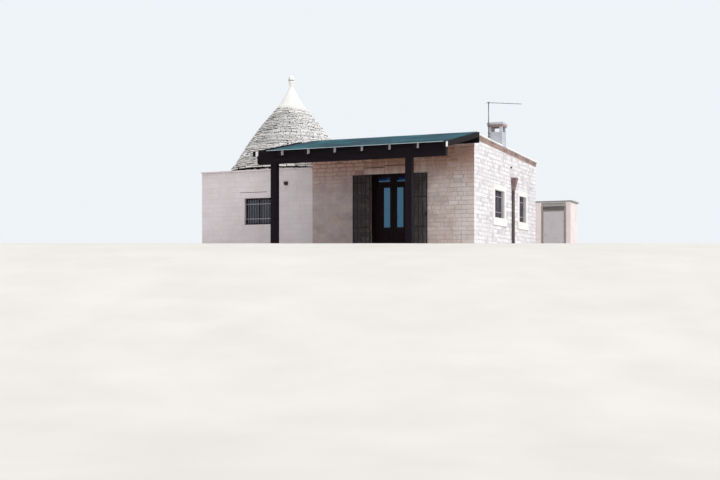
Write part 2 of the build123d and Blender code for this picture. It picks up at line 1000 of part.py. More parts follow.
def wall_lamp():
    """A small bulkhead lamp: a back plate and a hood whose four sides taper."""
    x = joint - lamp_from_joint
    plate = block(around(x, lamp_width), (front - lamp_plate, front), around(lamp_level, lamp_height))
    reach = (front - lamp_reach, front - lamp_plate)
    half_width, half_height = lamp_width / 2 - lamp_rim, lamp_height / 2 - lamp_rim
    from_above = make_face(
        Polyline(
            (x - half_width, reach[1]),
            (x + half_width, reach[1]),
            (x + half_width - lamp_taper, reach[0]),
            (x - half_width + lamp_taper, reach[0]),
            close=True,
        )
    )
    from_side = make_face(
        Polyline(
            (reach[1], lamp_level - half_height),
            (reach[1], lamp_level + half_height),
            (reach[0], lamp_level + half_height - lamp_taper),
            (reach[0], lamp_level - half_height + lamp_taper),
            close=True,
        )
    )
    upward = extrude(Plane.XY.offset(lamp_level) * from_above, half_height, both=True)
    sideways = extrude(Plane.YZ.offset(x) * from_side, half_width, both=True)
    return plate + (upward & sideways)


# Store at the rear corner

store_left = side + store_past_corner - store_width
store_right = side + store_past_corner
store_y = (wing_back, wing_back + store_depth)
store_opening_head = store_height - store_lintel
store_vent_bottom = store_opening_head - store_vent_height
store_opening = (side + store_opening_from_corner, side + store_opening_from_corner + store_opening_width)
store_frame_y = (wing_back + store_frame_setback, wing_back + store_frame_setback + store_frame_depth)
store_door_x = grown(store_opening, -store_frame - store_door_gap)
store_door_z = (store_floor + store_door_gap, store_vent_bottom - store_door_gap)
store_hinge_x = store_door_x[1] + store_door_gap / 2
store_hinge_y = store_frame_y[0] - barrel_radius - barrel_standoff


def store_walls():
    """Four thin walls and a floor in one, with a lintel over the opening."""
    shell = block((store_left, store_right), store_y, (0, store_height))
    inside = block(
        (store_left + store_left_wall, store_right - store_right_wall),
        (store_y[0] + store_front_wall, store_y[1] - store_back_wall),
        (store_floor, store_height + cut_past),
    )
    through = grown((store_y[0], store_y[0] + store_front_wall), cut_past)
    return shell - inside - block(store_opening, through, (store_floor, store_opening_head))


def store_roof():
    return block(
        (store_left, store_right + store_roof_overhang),
        (store_y[0], store_y[1] + store_roof_overhang),
        (store_height, store_height + store_roof_thickness),
    )


def store_door_frame():
    """A steel frame with a slatted vent above the door, and the fixed hinge halves."""
    frame = block(store_opening, store_frame_y, (store_floor, store_opening_head))
    across = (store_opening[0] + store_frame, store_opening[1] - store_frame)
    through = (store_frame_y[0] - cut_past, store_frame_y[1] + cut_past)
    behind = (store_frame_y[0] + store_sheet, store_frame_y[1] + cut_past)
    left_jamb = (store_opening[0] - cut_past, across[0] - store_sheet)
    right_jamb = (across[1] + store_sheet, store_opening[1] + cut_past)
    for jamb in (left_jamb, right_jamb):
        frame -= block(jamb, behind, (store_floor - cut_past, store_opening_head + cut_past))
    frame -= block(across, through, (store_floor - cut_past, store_vent_bottom))
    vent = (store_vent_bottom + store_frame / 2, store_opening_head - store_frame / 2)
    frame -= block(across, through, vent)
    pitch = (vent[1] - vent[0]) / store_vent_slats
    slat_y = around(sum(store_frame_y) / 2, store_slat_depth)
    for number in range(store_vent_slats):
        frame += block(across, slat_y, around(vent[0] + pitch * (number + 0.5), store_slat_thickness))
    for z in store_hinge_heights:
        plate = lug((store_hinge_x, store_hinge_x + 2 * barrel_radius), (store_hinge_y, store_frame_y[0]), z)
        frame += plate + fixed_barrel(store_hinge_x, store_hinge_y, z)
    return frame


def store_door():
    """A flat metal leaf with its hinge halves and a small turn handle."""
    leaf_front = store_frame_y[0] + store_door_recess
    leaf = block(store_door_x, (leaf_front, leaf_front + store_door_thickness), store_door_z)
    leaf -= block(
        grown(store_door_x, -store_sheet),
        (leaf_front + store_sheet, leaf_front + store_door_thickness + cut_past),
        grown(store_door_z, -store_sheet),
    )
    for z in store_hinge_heights:
        low = z + barrel_length + pin_clearance
        plate = lug((store_hinge_x - 2 * barrel_radius, store_hinge_x), (store_hinge_y, leaf_front), low)
        bore = upright(store_hinge_x, store_hinge_y, barrel_radius, (low, low + barrel_length))
        leaf += (plate - bore) + moving_barrel(store_hinge_x, store_hinge_y, z)
    handle_x = store_door_x[0] + store_handle_inset
    rose_y = (leaf_front - store_rose_thickness, leaf_front)
    leaf += block(around(handle_x, store_rose_width), rose_y, around(store_handle_level, store_rose_height))
    leaf += block(
        around(handle_x, store_grip_width),
        (rose_y[0] - store_grip_reach, rose_y[0]),
        around(store_handle_level, store_grip_height),
    )
    return leaf


nodes = [
    trullo_front_wall,
    trullo_left_wall,
    trullo_back_wall,
    trullo_inner_wall,
    trullo_floor,
    trullo_terrace,
    trullo_cornice,
    cone_roof,
    cone_cap,
    pinnacle,
    wing_front_wall_left,
    wing_front_wall_right,
    wing_front_wall_over_door,
    wing_side_wall,
    wing_back_wall,
    wing_left_wall,
    wing_floor,
    wing_roof_slab,
    door_threshold,
    roof_coping,
    cornice_band,
    door_frame,
    transom_glass,
    door_leaf_left,
    door_leaf_right,
    door_glass_left,
    door_glass_right,
    grille_leaf_left,
    grille_leaf_right,
    grille_pintles,
    window_sashes,
    window_glass,
    side_window_surrounds,
    chimney_stack,
    chimney_cap,
    aerial,
    downpipe,
    rain_hopper,
    post_left,
    post_right,
    front_beam,
    wall_plate,
    rafters,
    rafter_blocks,
    roof_sheet,
    wall_lamp,
    store_walls,
    store_roof,
    store_door_frame,
    store_door,
]

os.makedirs("parts", exist_ok=True)
for make in nodes:
    export_step(make(), f"parts/{make.__name__}.step")
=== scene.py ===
"""A trullo house with its flat-roofed wing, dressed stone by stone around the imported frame.

Everything is in metres in the frame's own axes: +X runs along the front from the trullo to the
wing, +Y runs into the house and +Z is up, with the origin on the ground under the cone's tip.
"""

import logging
import math
import random
from dataclasses import dataclass
from enum import Enum
from typing import Callable, ClassVar, Sequence

import bmesh
import bpy
from mathutils import Matrix, Vector, noise


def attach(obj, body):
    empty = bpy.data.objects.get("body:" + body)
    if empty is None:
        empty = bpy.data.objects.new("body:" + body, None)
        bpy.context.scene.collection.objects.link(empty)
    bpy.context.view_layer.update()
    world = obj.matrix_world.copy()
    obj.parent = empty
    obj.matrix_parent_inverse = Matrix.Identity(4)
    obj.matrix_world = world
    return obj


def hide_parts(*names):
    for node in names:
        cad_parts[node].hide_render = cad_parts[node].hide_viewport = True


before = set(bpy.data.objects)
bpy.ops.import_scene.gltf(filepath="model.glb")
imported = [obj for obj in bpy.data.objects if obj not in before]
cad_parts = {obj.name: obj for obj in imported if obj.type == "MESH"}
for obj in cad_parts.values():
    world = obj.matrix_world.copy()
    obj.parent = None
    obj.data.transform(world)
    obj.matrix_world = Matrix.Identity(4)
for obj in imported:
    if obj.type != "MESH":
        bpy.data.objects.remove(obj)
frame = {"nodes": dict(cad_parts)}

LOG = logging.getLogger("trullo")
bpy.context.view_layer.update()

Colour = tuple[float, float, float, float]
Pair = tuple[float, float]
Point = tuple[float, float, float]
Socket = bpy.types.NodeSocket

QUARTER = math.pi / 2
EVEN = (1.0, 1.0, 1.0)


def around(middle: float, half: float) -> Pair:
    """The range that reaches equally far to both sides of a value."""
    return (middle - half, middle + half)


def grown(pair: Pair, margin: float) -> Pair:
    """A range made longer at both ends, or shorter by a negative margin."""
    return (pair[0] - margin, pair[1] + margin)


def ends(pair: Pair, wide: float) -> tuple[Pair, Pair]:
    """The two strips of a width at the ends of a range."""
    return ((pair[0], pair[0] + wide), (pair[1] - wide, pair[1]))


def paint(chart: Point) -> Colour:
    """A paint chart's colour, 0 to 255 a channel, as linear values with full opacity."""
    shares = [value / 255 for value in chart]
    return (*(s / 12.92 if s <= 0.04045 else ((s + 0.055) / 1.055) ** 2.4 for s in shares), 1.0)


# Node trees

NUMBER, COLOUR, VECTOR = "NodeSocketFloat", "NodeSocketColor", "NodeSocketVector"
WHOLE, SOLID, MATERIAL = "NodeSocketInt", "NodeSocketGeometry", "NodeSocketMaterial"


class Graph:
    """A node tree with short calls for the nodes that finishes and layouts share."""

    def __init__(self, tree: bpy.types.NodeTree) -> None:
        """Takes the tree to add nodes to."""
        self.tree = tree

    def node(self, kind: str, inputs: dict | None = None, **settings: object) -> bpy.types.Node:
        """Adds a node, sets its options and fills its inputs.

        Args:
            kind: Blender's name for the node type.
            inputs: Values or sockets by input name or number.
            settings: The node's own options.

        Returns:
            The new node.
        """
        made = self.tree.nodes.new(kind)
        for name, value in settings.items():
            setattr(made, name, value)
        for name, value in (inputs or {}).items():
            self.feed(made.inputs[name], value)
        return made

    def feed(self, target: Socket, value: object) -> None:
        """Links a socket to an input, or sets the input's own value."""
        if isinstance(value, Socket):
            self.tree.links.new(value, target)
        else:
            target.default_value = value

    def shape(self, kind: str, solid: Socket, inputs: dict | None = None, **settings: object) -> Socket:
        """The geometry that leaves a node which takes one in; the rest is as for node."""
        return self.node(kind, {"Geometry": solid, **(inputs or {})}, **settings).outputs[0]

    def math(self, operation: str, *values: object) -> Socket:
        """The result of a number operation on sockets or plain values."""
        return self.node("ShaderNodeMath", dict(enumerate(values)), operation=operation).outputs[0]

    def plus(self, first: object, second: object) -> Socket:
        """A sum of two numbers."""
        return self.math("ADD", first, second)

    def times(self, first: object, second: object) -> Socket:
        """A product of two numbers."""
        return self.math("MULTIPLY", first, second)

    def swing(self, value: Socket, amount: object) -> Socket:
        """A value between 0 and 1, made to run to both sides of zero over an amount."""
        return self.times(self.math("SUBTRACT", value, 0.5), amount)

    def vector(self, operation: str, *values: object) -> Socket:
        """The result of a vector operation; a dot product gives its number."""
        made = self.node("ShaderNodeVectorMath", dict(enumerate(values)), operation=operation)
        return made.outputs["Value" if operation == "DOT_PRODUCT" else "Vector"]

    def scaled(self, value: object, factor: object) -> Socket:
        """A vector or colour times a number."""
        inputs = {0: value, "Scale": factor}
        return self.node("ShaderNodeVectorMath", inputs, operation="SCALE").outputs["Vector"]

    def noise(
        self, where: Socket, scale: object, detail: float, rough: float = 0.5, output: str = "Fac"
    ) -> Socket:
        """A noise texture read at a vector."""
        inputs = {"Vector": where, "Scale": scale, "Detail": detail, "Roughness": rough}
        return self.node("ShaderNodeTexNoise", inputs).outputs[output]

    def spread(
        self, value: Socket, low: float, high: float, to_low: float = 0.0, to_high: float = 1.0
    ) -> Socket:
        """A value's range stretched to another range and held inside it."""
        inputs = {"Value": value, "From Min": low, "From Max": high, "To Min": to_low, "To Max": to_high}
        return self.node("ShaderNodeMapRange", inputs, clamp=True).outputs["Result"]

    def mix(self, share: object, first: object, second: object) -> Socket:
        """Two colours mixed by a share."""
        made = self.node("ShaderNodeMix", data_type="RGBA")
        for name, value in (("Factor_Float", share), ("A_Color", first), ("B_Color", second)):
            self.feed(next(s for s in made.inputs if s.identifier == name), value)
        return next(s for s in made.outputs if s.identifier == "Result_Color")


def new_group(name: str, inputs: dict, outputs: dict, kind: str) -> tuple[Graph, dict, dict]:
    """Starts a node group with named inputs and outputs.

    Args:
        name: The group's name.
        inputs, outputs: Socket type by name.
        kind: The type of node tree.

    Returns:
        The group's graph, its input sockets by name, and its output node's inputs by name.
    """
    tree = bpy.data.node_groups.new(name, kind)
    for way, labels in (("INPUT", inputs), ("OUTPUT", outputs)):
        for label, socket_type in labels.items():
            tree.interface.new_socket(label, in_out=way, socket_type=socket_type)
    start, end = tree.nodes.new("NodeGroupInput"), tree.nodes.new("NodeGroupOutput")
    given = {label: start.outputs[label] for label in inputs}
    return Graph(tree), given, {label: end.inputs[label] for label in outputs}


# Finishes


@dataclass(frozen=True)
class Finish:
    """A surface finish: the record's material slot and how its material is made.

    Each kind of finish has one shader node group, EFFECT, that all its materials share. Its INPUTS
    are the fields of the same name, colours as on a paint chart.
    """

    EFFECT: ClassVar[str]
    INPUTS: ClassVar[dict[str, str]]
    OUTPUTS: ClassVar[dict[str, str]] = {"Base Color": COLOUR, "Roughness": NUMBER, "Height": NUMBER}

    name: str
    slot: str

    def material(self) -> bpy.types.Material:
        """The finish's material, built the first time it is asked for."""
        found = bpy.data.materials.get(self.name)
        if found:
            return found
        made = bpy.data.materials.new(self.name)
        made.use_nodes = True
        graph, shader = Graph(made.node_tree), made.node_tree.nodes["Principled BSDF"]
        effect = graph.node("ShaderNodeGroup", node_tree=self.group())
        for label, kind in self.INPUTS.items():
            value = getattr(self, label.lower().replace(" ", "_"))
            graph.feed(effect.inputs[label], paint(value) if kind == COLOUR else value)
        for label in ("Base Color", "Roughness"):
            graph.feed(shader.inputs[label], effect.outputs[label])
        if "Height" in self.OUTPUTS:
            bump = {"Height": effect.outputs["Height"], "Strength": 1.0, "Distance": self.depth}
            graph.feed(shader.inputs["Normal"], graph.node("ShaderNodeBump", bump).outputs["Normal"])
        for label, value in self.plain().items():
            shader.inputs[label].default_value = value
        return made

    @classmethod
    def group(cls) -> bpy.types.NodeTree:
        """The node group of this kind of finish, built the first time it is asked for."""
        found = bpy.data.node_groups.get(cls.EFFECT)
        if found:
            return found
        graph, given, wanted = new_group(cls.EFFECT, cls.INPUTS, cls.OUTPUTS, "ShaderNodeTree")
        where = graph.node("ShaderNodeTexCoord").outputs["Object"]
        for target, value in zip(wanted.values(), cls.surface(graph, given, where)):
            graph.feed(target, value)
        return graph.tree

    @staticmethod
    def surface(graph: Graph, given: dict, where: Socket) -> tuple[Socket, ...]:
        """The effect's outputs in order, made from its inputs at an object's coordinates."""
        raise NotImplementedError

    def plain(self) -> dict[str, object]:
        """The shader's inputs that are the same all over the surface."""
        raise NotImplementedError


@dataclass(frozen=True)
class StoneFinish(Finish):
    """Stone, mortar, plaster or screed."""

    EFFECT = "Weathered stone"
    INPUTS = {
        "Colour": COLOUR, "Stain": COLOUR, "Stain Amount": NUMBER, "Blotch Scale": NUMBER,
        "Grain Scale": NUMBER, "Pits": NUMBER, "Tone Spread": NUMBER,
        "Run Colour": COLOUR, "Run Amount": NUMBER, "Run Level": NUMBER,
    }

    colour: Point
    stain: Point
    stain_amount: float
    blotch_scale: float
    grain_scale: float
    pits: float
    tone_spread: float
    depth: float
    run_colour: Point = (0, 0, 0)
    run_amount: float = 0.0
    run_level: float = 3.6

    @staticmethod
    def surface(graph: Graph, given: dict, where: Socket) -> tuple[Socket, ...]:
        """Blotches, a tone for each stone, grain, small dark pits and brown runs."""
        tone = graph.node("ShaderNodeAttribute", attribute_name="tone").outputs["Fac"]
        grain = graph.noise(where, given["Grain Scale"], 6.0, 0.7)
        patch = graph.spread(graph.noise(where, given["Blotch Scale"], 5.0, 0.62), 0.42, 0.66)
        stained = graph.mix(graph.times(patch, given["Stain Amount"]), given["Colour"], given["Stain"])
        # A stone's own tone runs from 0 to 1, and plain mortar has none, which reads as 0.
        level = graph.plus(graph.plus(graph.swing(tone, given["Tone Spread"]), graph.swing(grain, 0.35)), 1.0)
        cells = graph.node("ShaderNodeTexVoronoi", {"Vector": where, "Scale": given["Grain Scale"]})
        hollow = graph.spread(cells.outputs["Distance"], 0.12, 0.3, 1.0, 0.0)
        patchy = graph.spread(graph.noise(where, 9.0, 2.0), 0.48, 0.62)
        pit = graph.times(graph.times(hollow, patchy), given["Pits"])
        pitted = graph.mix(pit, graph.scaled(stained, level), given["Stain"])
        # Runs start at a level and thin out over the metre and a half below it.
        height = graph.node("ShaderNodeSeparateXYZ", {"Vector": where}).outputs["Z"]
        below = graph.math("SUBTRACT", given["Run Level"], height)
        sunk = graph.times(graph.spread(below, 0.35, 1.5, 1.0, 0.0), graph.spread(below, -0.15, 0.05))
        streak = graph.noise(graph.vector("MULTIPLY", where, (5.0, 5.0, 0.6)), 1.0, 4.0, 0.6)
        wet = graph.spread(graph.plus(streak, graph.times(sunk, 0.4)), 0.42, 0.8)
        run = graph.times(graph.times(wet, sunk), given["Run Amount"])
        rough = graph.spread(grain, 0.3, 0.7, 0.82, 0.97)
        return graph.mix(run, pitted, given["Run Colour"]), rough, graph.math("SUBTRACT", grain, pit)

    def plain(self) -> dict[str, object]:
        """A dull surface."""
        return {"Specular IOR Level": 0.2}


@dataclass(frozen=True)
class WoodFinish(Finish):
    """Stained or painted timber whose grain runs along one axis."""

    EFFECT = "Wood grain"
    INPUTS = {
        "Dark": COLOUR, "Light": COLOUR, "Stretch": VECTOR, "Scale": NUMBER, "Wear": NUMBER, "Worn": COLOUR,
    }

    dark: Point
    light: Point
    stretch: Point
    scale: float
    wear: float
    worn: Point
    depth: float = 0.0015

    @staticmethod
    def surface(graph: Graph, given: dict, where: Socket) -> tuple[Socket, ...]:
        """Long grain along a chosen axis, with paler worn streaks."""
        along = graph.vector("MULTIPLY", where, given["Stretch"])
        band = graph.spread(graph.noise(along, given["Scale"], 6.0, 0.65), 0.35, 0.65)
        fibres = graph.noise(along, graph.times(given["Scale"], 5.0), 3.0, 0.6)
        worn = graph.times(graph.spread(graph.noise(where, 2.2, 4.0, 0.7), 0.55, 0.75), given["Wear"])
        colour = graph.mix(worn, graph.mix(band, given["Dark"], given["Light"]), given["Worn"])
        height = graph.plus(graph.times(band, 0.6), graph.times(fibres, 0.4))
        return colour, graph.spread(fibres, 0.3, 0.7, 0.55, 0.8), height

    def plain(self) -> dict[str, object]:
        """A faint shine."""
        return {"Specular IOR Level": 0.12}


@dataclass(frozen=True)
class MetalFinish(Finish):
    """Painted or bare metal with wear."""

    EFFECT = "Painted metal"
    INPUTS = {"Paint": COLOUR, "Worn": COLOUR, "Amount": NUMBER, "Scale": NUMBER, "Gloss": NUMBER}

    paint: Point
    worn: Point
    amount: float
    scale: float
    gloss: float
    metallic: float = 0.0
    depth: float = 0.0008

    @staticmethod
    def surface(graph: Graph, given: dict, where: Socket) -> tuple[Socket, ...]:
        """Paint that has gone dull in patches, with rust or dust where it has worn."""
        patch = graph.noise(where, given["Scale"], 7.0, 0.68)
        fleck = graph.noise(where, 140.0, 3.0, 0.6)
        bare = graph.times(graph.spread(patch, 0.47, 0.7), given["Amount"])
        shade = graph.plus(graph.swing(fleck, 0.3), 1.0)
        colour = graph.scaled(graph.mix(bare, given["Paint"], given["Worn"]), shade)
        rough = graph.plus(given["Gloss"], graph.times(bare, 0.45))
        return colour, rough, graph.plus(graph.times(bare, 0.7), graph.times(fleck, 0.3))

    def plain(self) -> dict[str, object]:
        """How far the metal itself shows."""
        return {"Metallic": self.metallic}


@dataclass(frozen=True)
class GlassFinish(Finish):
    """Tinted window glass."""

    EFFECT = "Dusty glass"
    INPUTS = {"Colour": COLOUR}
    OUTPUTS = {"Base Color": COLOUR, "Roughness": NUMBER}

    colour: Point
    transmission: float
    mirrored: Colour = (1.0, 1.0, 1.0, 1.0)
    index: float = 1.5

    @staticmethod
    def surface(graph: Graph, given: dict, where: Socket) -> tuple[Socket, ...]:
        """A smooth tinted pane with a faint film of dust, half as bright again."""
        film = graph.noise(where, 3.0, 5.0, 0.6)
        pale = graph.vector("ADD", graph.scaled(given["Colour"], 1.5), (0.02,) * 3)
        dusty = graph.vector("MINIMUM", pale, EVEN)
        colour = graph.mix(graph.spread(film, 0.4, 0.75), given["Colour"], dusty)
        return colour, graph.spread(film, 0.3, 0.8, 0.03, 0.12)

    def plain(self) -> dict[str, object]:
        """How much light goes through the pane, and how it mirrors."""
        return {"Transmission Weight": self.transmission, "Specular Tint": self.mirrored, "IOR": self.index}


# Name, slot, colour, stain, stain amount, blotch scale, grain scale, pits, tone spread, depth of the
# relief and, where the stone has runs, their colour, amount and upper level.
TRULLO_STONE = StoneFinish(
    "trullo limestone", "grey_limestone", (228, 221, 225), (202, 190, 195), 0.4, 1.1, 55.0, 0.12, 0.05, 0.003,
    (188, 168, 160), 0.3,
)
TRULLO_MORTAR = StoneFinish(
    "trullo mortar", "grey_limestone", (220, 212, 216), (194, 182, 186), 0.4, 1.6, 90.0, 0.1, 0.0, 0.003
)
CONE_STONE = StoneFinish(
    "cone slabs", "dry_stone", (255, 254, 253), (222, 219, 219), 0.25, 1.4, 42.0, 0.12, 0.3, 0.003,
    (255, 254, 252), 0.8, 5.4,
)
# Near-black fill: painted shade where it shows between the cone's slabs and in the pinnacle's gap, and the
# dark of the joints over the two lintels.
GAP_SHADE_FILL = StoneFinish("near-black gap shade", "dry_stone", (34, 32, 32), (16, 16, 17), 0.6, 5.0, 30.0, 0.4, 0.0, 0.01)
PLASTER = StoneFinish(
    "lime plaster", "lime_plaster", (250, 249, 247), (226, 223, 219), 0.3, 2.2, 35.0, 0.05, 0.0, 0.002
)
EAVES_STONE = StoneFinish(
    "whitened slabs", "dry_stone", (248, 246, 243), (206, 200, 194), 0.3, 2.0, 40.0, 0.2, 0.2, 0.005
)
# The porch's stone is pinker and darker than the side wall's: partly its own tint, partly painted warm light
# bounced into the porch's shade. Its brown runs below 3.3 m, under the lean-to's roof, are partly run-off
# stains and partly painted shade.
WARM_STONE = StoneFinish(
    "porch limestone", "warm_limestone", (228, 212, 208), (192, 168, 160), 0.6, 2.2, 22.0, 0.45, 0.12, 0.009,
    (164, 118, 100), 1.0, 3.3,
)
# Darker, cooler porch stone for the left part of the porch's wall: painted shade, deepest where the porch
# meets the trullo.
PORCH_SHADE_STONE = StoneFinish(
    "porch limestone in painted shade", "warm_limestone", (194, 180, 184), (158, 142, 146), 0.6, 2.2, 22.0, 0.45, 0.12,
    0.009, (194, 156, 142), 1.0, 3.3,
)
# Paler porch stone and mortar towards the outer corner: painted light, where the porch's shade gives way to
# grazing sun.
LIT_CORNER_STONE = StoneFinish(
    "corner limestone in painted light", "warm_limestone", (234, 222, 219), (204, 188, 184), 0.5, 2.2, 22.0, 0.3, 0.1, 0.007,
    (164, 118, 100), 0.85, 3.3,
)
LIT_CORNER_MORTAR = StoneFinish(
    "corner mortar in painted light", "warm_limestone", (208, 196, 193), (174, 158, 152), 0.5, 2.2, 80.0, 0.2, 0.0, 0.004,
    (160, 122, 106), 0.7, 3.3,
)
# Grey plaster for the chimney's stack and cap slab, darker and bluer than the house's plaster: painted shade,
# as the sky lights its front.
CHIMNEY_SHADE_PLASTER = StoneFinish(
    "chimney plaster in painted sky shade", "roof_screed", (200, 203, 212), (160, 161, 169), 0.5, 3.0, 45.0, 0.3, 0.0, 0.004
)
# Plaster blotched near-black for the lid's left side: partly moss, partly painted shade on the side away from
# the sun.
MOSSY_SHADED_PLASTER = StoneFinish(
    "plaster with moss and painted shade", "lime_plaster", (228, 228, 230), (78, 76, 78), 0.95, 9.0, 60.0, 0.3, 0.0, 0.002
)
# The porch's mortar, tinted like the porch's stone: partly its own tint, partly painted bounced light and
# shade.
WARM_MORTAR = StoneFinish(
    "porch mortar", "warm_limestone", (196, 176, 170), (160, 138, 130), 0.5, 2.2, 80.0, 0.2, 0.0, 0.004,
    (154, 114, 98), 1.0, 3.3,
)
PALE_STONE = StoneFinish(
    "side limestone", "pale_limestone", (239, 238, 240), (208, 204, 206), 0.35, 1.2, 38.0, 0.6, 0.14, 0.007
)
PALE_MORTAR = StoneFinish(
    "side mortar", "pale_limestone", (220, 217, 222), (170, 166, 170), 0.5, 3.0, 60.0, 0.4, 0.0, 0.006
)
DRESSED_STONE = StoneFinish(
    "dressed limestone", "pale_limestone", (248, 247, 246), (222, 218, 212), 0.3, 1.5, 70.0, 0.12, 0.1, 0.002
)
# Brown slabs for the band under the coping and the course under the chimney's cap: partly the slabs' own
# brown, partly painted shadow cast by the overhang above.
SHADOWED_BROWN_SLAB = StoneFinish(
    "brown slabs with painted shadow", "brown_slab", (184, 160, 154), (132, 106, 100), 0.5, 2.0, 55.0, 0.3, 0.4, 0.004
)
PAVING = StoneFinish(
    "paving stone", "paving_stone", (208, 200, 190), (158, 148, 138), 0.45, 1.4, 60.0, 0.3, 0.35, 0.003
)
SCREED = StoneFinish(
    "roof screed", "roof_screed", (226, 222, 220), (182, 174, 172), 0.5, 1.0, 45.0, 0.3, 0.0, 0.004
)
STORE_STONE = StoneFinish(
    "store stone", "store_stone", (236, 226, 226), (212, 198, 194), 0.35, 1.8, 70.0, 0.2, 0.08, 0.003
)
STORE_ROOF = StoneFinish(
    "store roof", "store_stone", (150, 150, 148), (116, 114, 112), 0.4, 2.0, 60.0, 0.3, 0.0, 0.003
)
# Name, slot, dark, light, stretch of the grain on each axis, scale, wear, worn colour.
JOINERY = WoodFinish(
    "brown joinery", "brown_joinery", (15, 9, 12), (36, 18, 22), (1.0, 1.0, 0.06), 26.0, 0.08, (84, 62, 58)
)
GRAIN = {"along x": (0.05, 1.0, 1.0), "along y": (1.0, 0.05, 1.0), "upright": (1.0, 1.0, 0.05)}
TIMBER_X, TIMBER_Y, TIMBER_Z = (
    WoodFinish(f"dark timber {way}", "dark_timber", (13, 6, 13), (27, 18, 24), grain, 26.0, 0.1, (60, 52, 58))
    for way, grain in GRAIN.items()
)
# Pale timber for the right faces of the rafter tails: painted sunlight on those faces, with some weathering.
SUNLIT_TAIL_TIMBER = WoodFinish(
    "rafter tails in painted sunlight", "dark_timber", (206, 202, 206), (242, 240, 242), (1.0, 0.1, 1.0), 30.0, 0.1,
    (120, 112, 110),
)
# Name, slot, colour, transmission, colour of the reflection, index of refraction.
DOOR_GLASS = GlassFinish("door glass", "glass", (6, 36, 84), 0.0, (0.35, 0.75, 1.0, 1.0), 2.3)
DARK_GLASS = GlassFinish("window glass", "glass", (34, 38, 50), 0.1, (0.9, 0.95, 1.0, 1.0), 1.6)
LAMP_GLASS = GlassFinish("lamp glass", "lamp_body", (84, 74, 72), 0.2)
# Name, slot, paint, worn colour, amount of wear, scale, roughness of the paint, metallic.
IRON = MetalFinish("black iron", "black_iron", (24, 21, 30), (62, 46, 46), 0.2, 10.0, 0.5, 0.2)
# Grey iron for the window rails, paler than the bars: the grey paint, with the sunlight on their flat faces
# painted in.
LIT_RAIL_IRON = MetalFinish("grey iron rails with painted sunlight", "black_iron", (160, 154, 166), (126, 116, 120), 0.35, 10.0, 0.5)
BAR_IRON = MetalFinish("dull grey iron", "black_iron", (128, 122, 134), (96, 86, 90), 0.35, 10.0, 0.5)
# Teal sheet whose paler patches stand partly for weathering and partly for painted highlights on its top.
SHEET = MetalFinish("teal sheet", "teal_sheet", (0, 52, 66), (64, 162, 174), 0.42, 1.1, 0.8)
# Pale grey-teal for the strip along the sheet's front edge: painted sunlight on the edge.
SHEET_LIT_EDGE = MetalFinish("sheet edge in painted sunlight", "teal_sheet", (190, 206, 212), (110, 138, 148), 0.7, 2.0, 0.5)
RUST = MetalFinish("rusty pipe", "rusty_pipe", (84, 75, 79), (124, 104, 100), 0.7, 5.0, 0.55, 0.15)
RUST_RED = MetalFinish("rusty hopper", "rusty_pipe", (122, 100, 98), (190, 166, 160), 0.7, 6.0, 0.55, 0.1)
ALUMINIUM = MetalFinish("aerial metal", "aerial_metal", (112, 116, 122), (74, 76, 80), 0.4, 12.0, 0.35, 0.7)
LAMP_METAL = MetalFinish("lamp metal", "lamp_body", (46, 36, 42), (84, 70, 70), 0.3, 14.0, 0.4, 0.3)
STORE_FRAME = MetalFinish(
    "store frame paint", "store_frame_paint", (150, 138, 134), (118, 102, 96), 0.35, 5.0, 0.45
)
STORE_VENT = MetalFinish(
    "store vent paint", "store_frame_paint", (178, 176, 176), (142, 138, 138), 0.35, 5.0, 0.45
)
STORE_DOOR = MetalFinish(
    "store door paint", "store_door_paint", (194, 190, 194), (166, 160, 158), 0.3, 3.0, 0.45
)


# Making and mounting pieces


def add_object(name: str, data: bpy.types.ID) -> bpy.types.Object:
    """A new object of the scene, at the origin."""
    made = bpy.data.objects.new(name, data)
    bpy.context.scene.collection.objects.link(made)
    return made


def mount(piece: bpy.types.Object, finish: Finish, body: str, *nodes: str) -> bpy.types.Object:
    """Puts a finished piece on its body, and hides the frame's nodes that it stands for.

    Args:
        piece: The piece, in place.
        finish: Not used.
        body: The body it rides on.
        nodes: The frame's nodes that it replaces.

    Returns:
        The same piece.
    """
    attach(piece, body)
    if nodes:
        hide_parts(*nodes)
    piece.data.calc_loop_triangles()
    LOG.info("%s: %d triangles, on %s", piece.name, len(piece.data.loop_triangles), body)
    return piece


def dress(finish: Finish, *nodes: str) -> None:
    """Gives the frame's own nodes a finish in place of their plain material."""
    for name in nodes:
        slots = frame["nodes"][name].data.materials
        slots.clear()
        slots.append(finish.material())
        LOG.info("%s keeps its shape, in %s", name, finish.name)


def run_tree(piece: bpy.types.Object, tree: bpy.types.NodeTree, values: dict[str, object]) -> None:
    """Puts a Geometry Nodes tree on a piece, with its inputs set by name."""
    modifier = piece.modifiers.new(tree.name, "NODES")
    modifier.node_group = tree
    identifiers = {item.name: item.identifier for item in tree.interface.items_tree if item.in_out == "INPUT"}
    for label, value in values.items():
        modifier[identifiers[label]] = value


def settle(piece: bpy.types.Object) -> None:
    """Replaces a piece's live modifiers by the mesh that they make."""
    graph = bpy.context.evaluated_depsgraph_get()
    mesh = bpy.data.meshes.new_from_object(piece.evaluated_get(graph))
    piece.modifiers.clear()
    piece.data = mesh
    mesh.name = piece.name


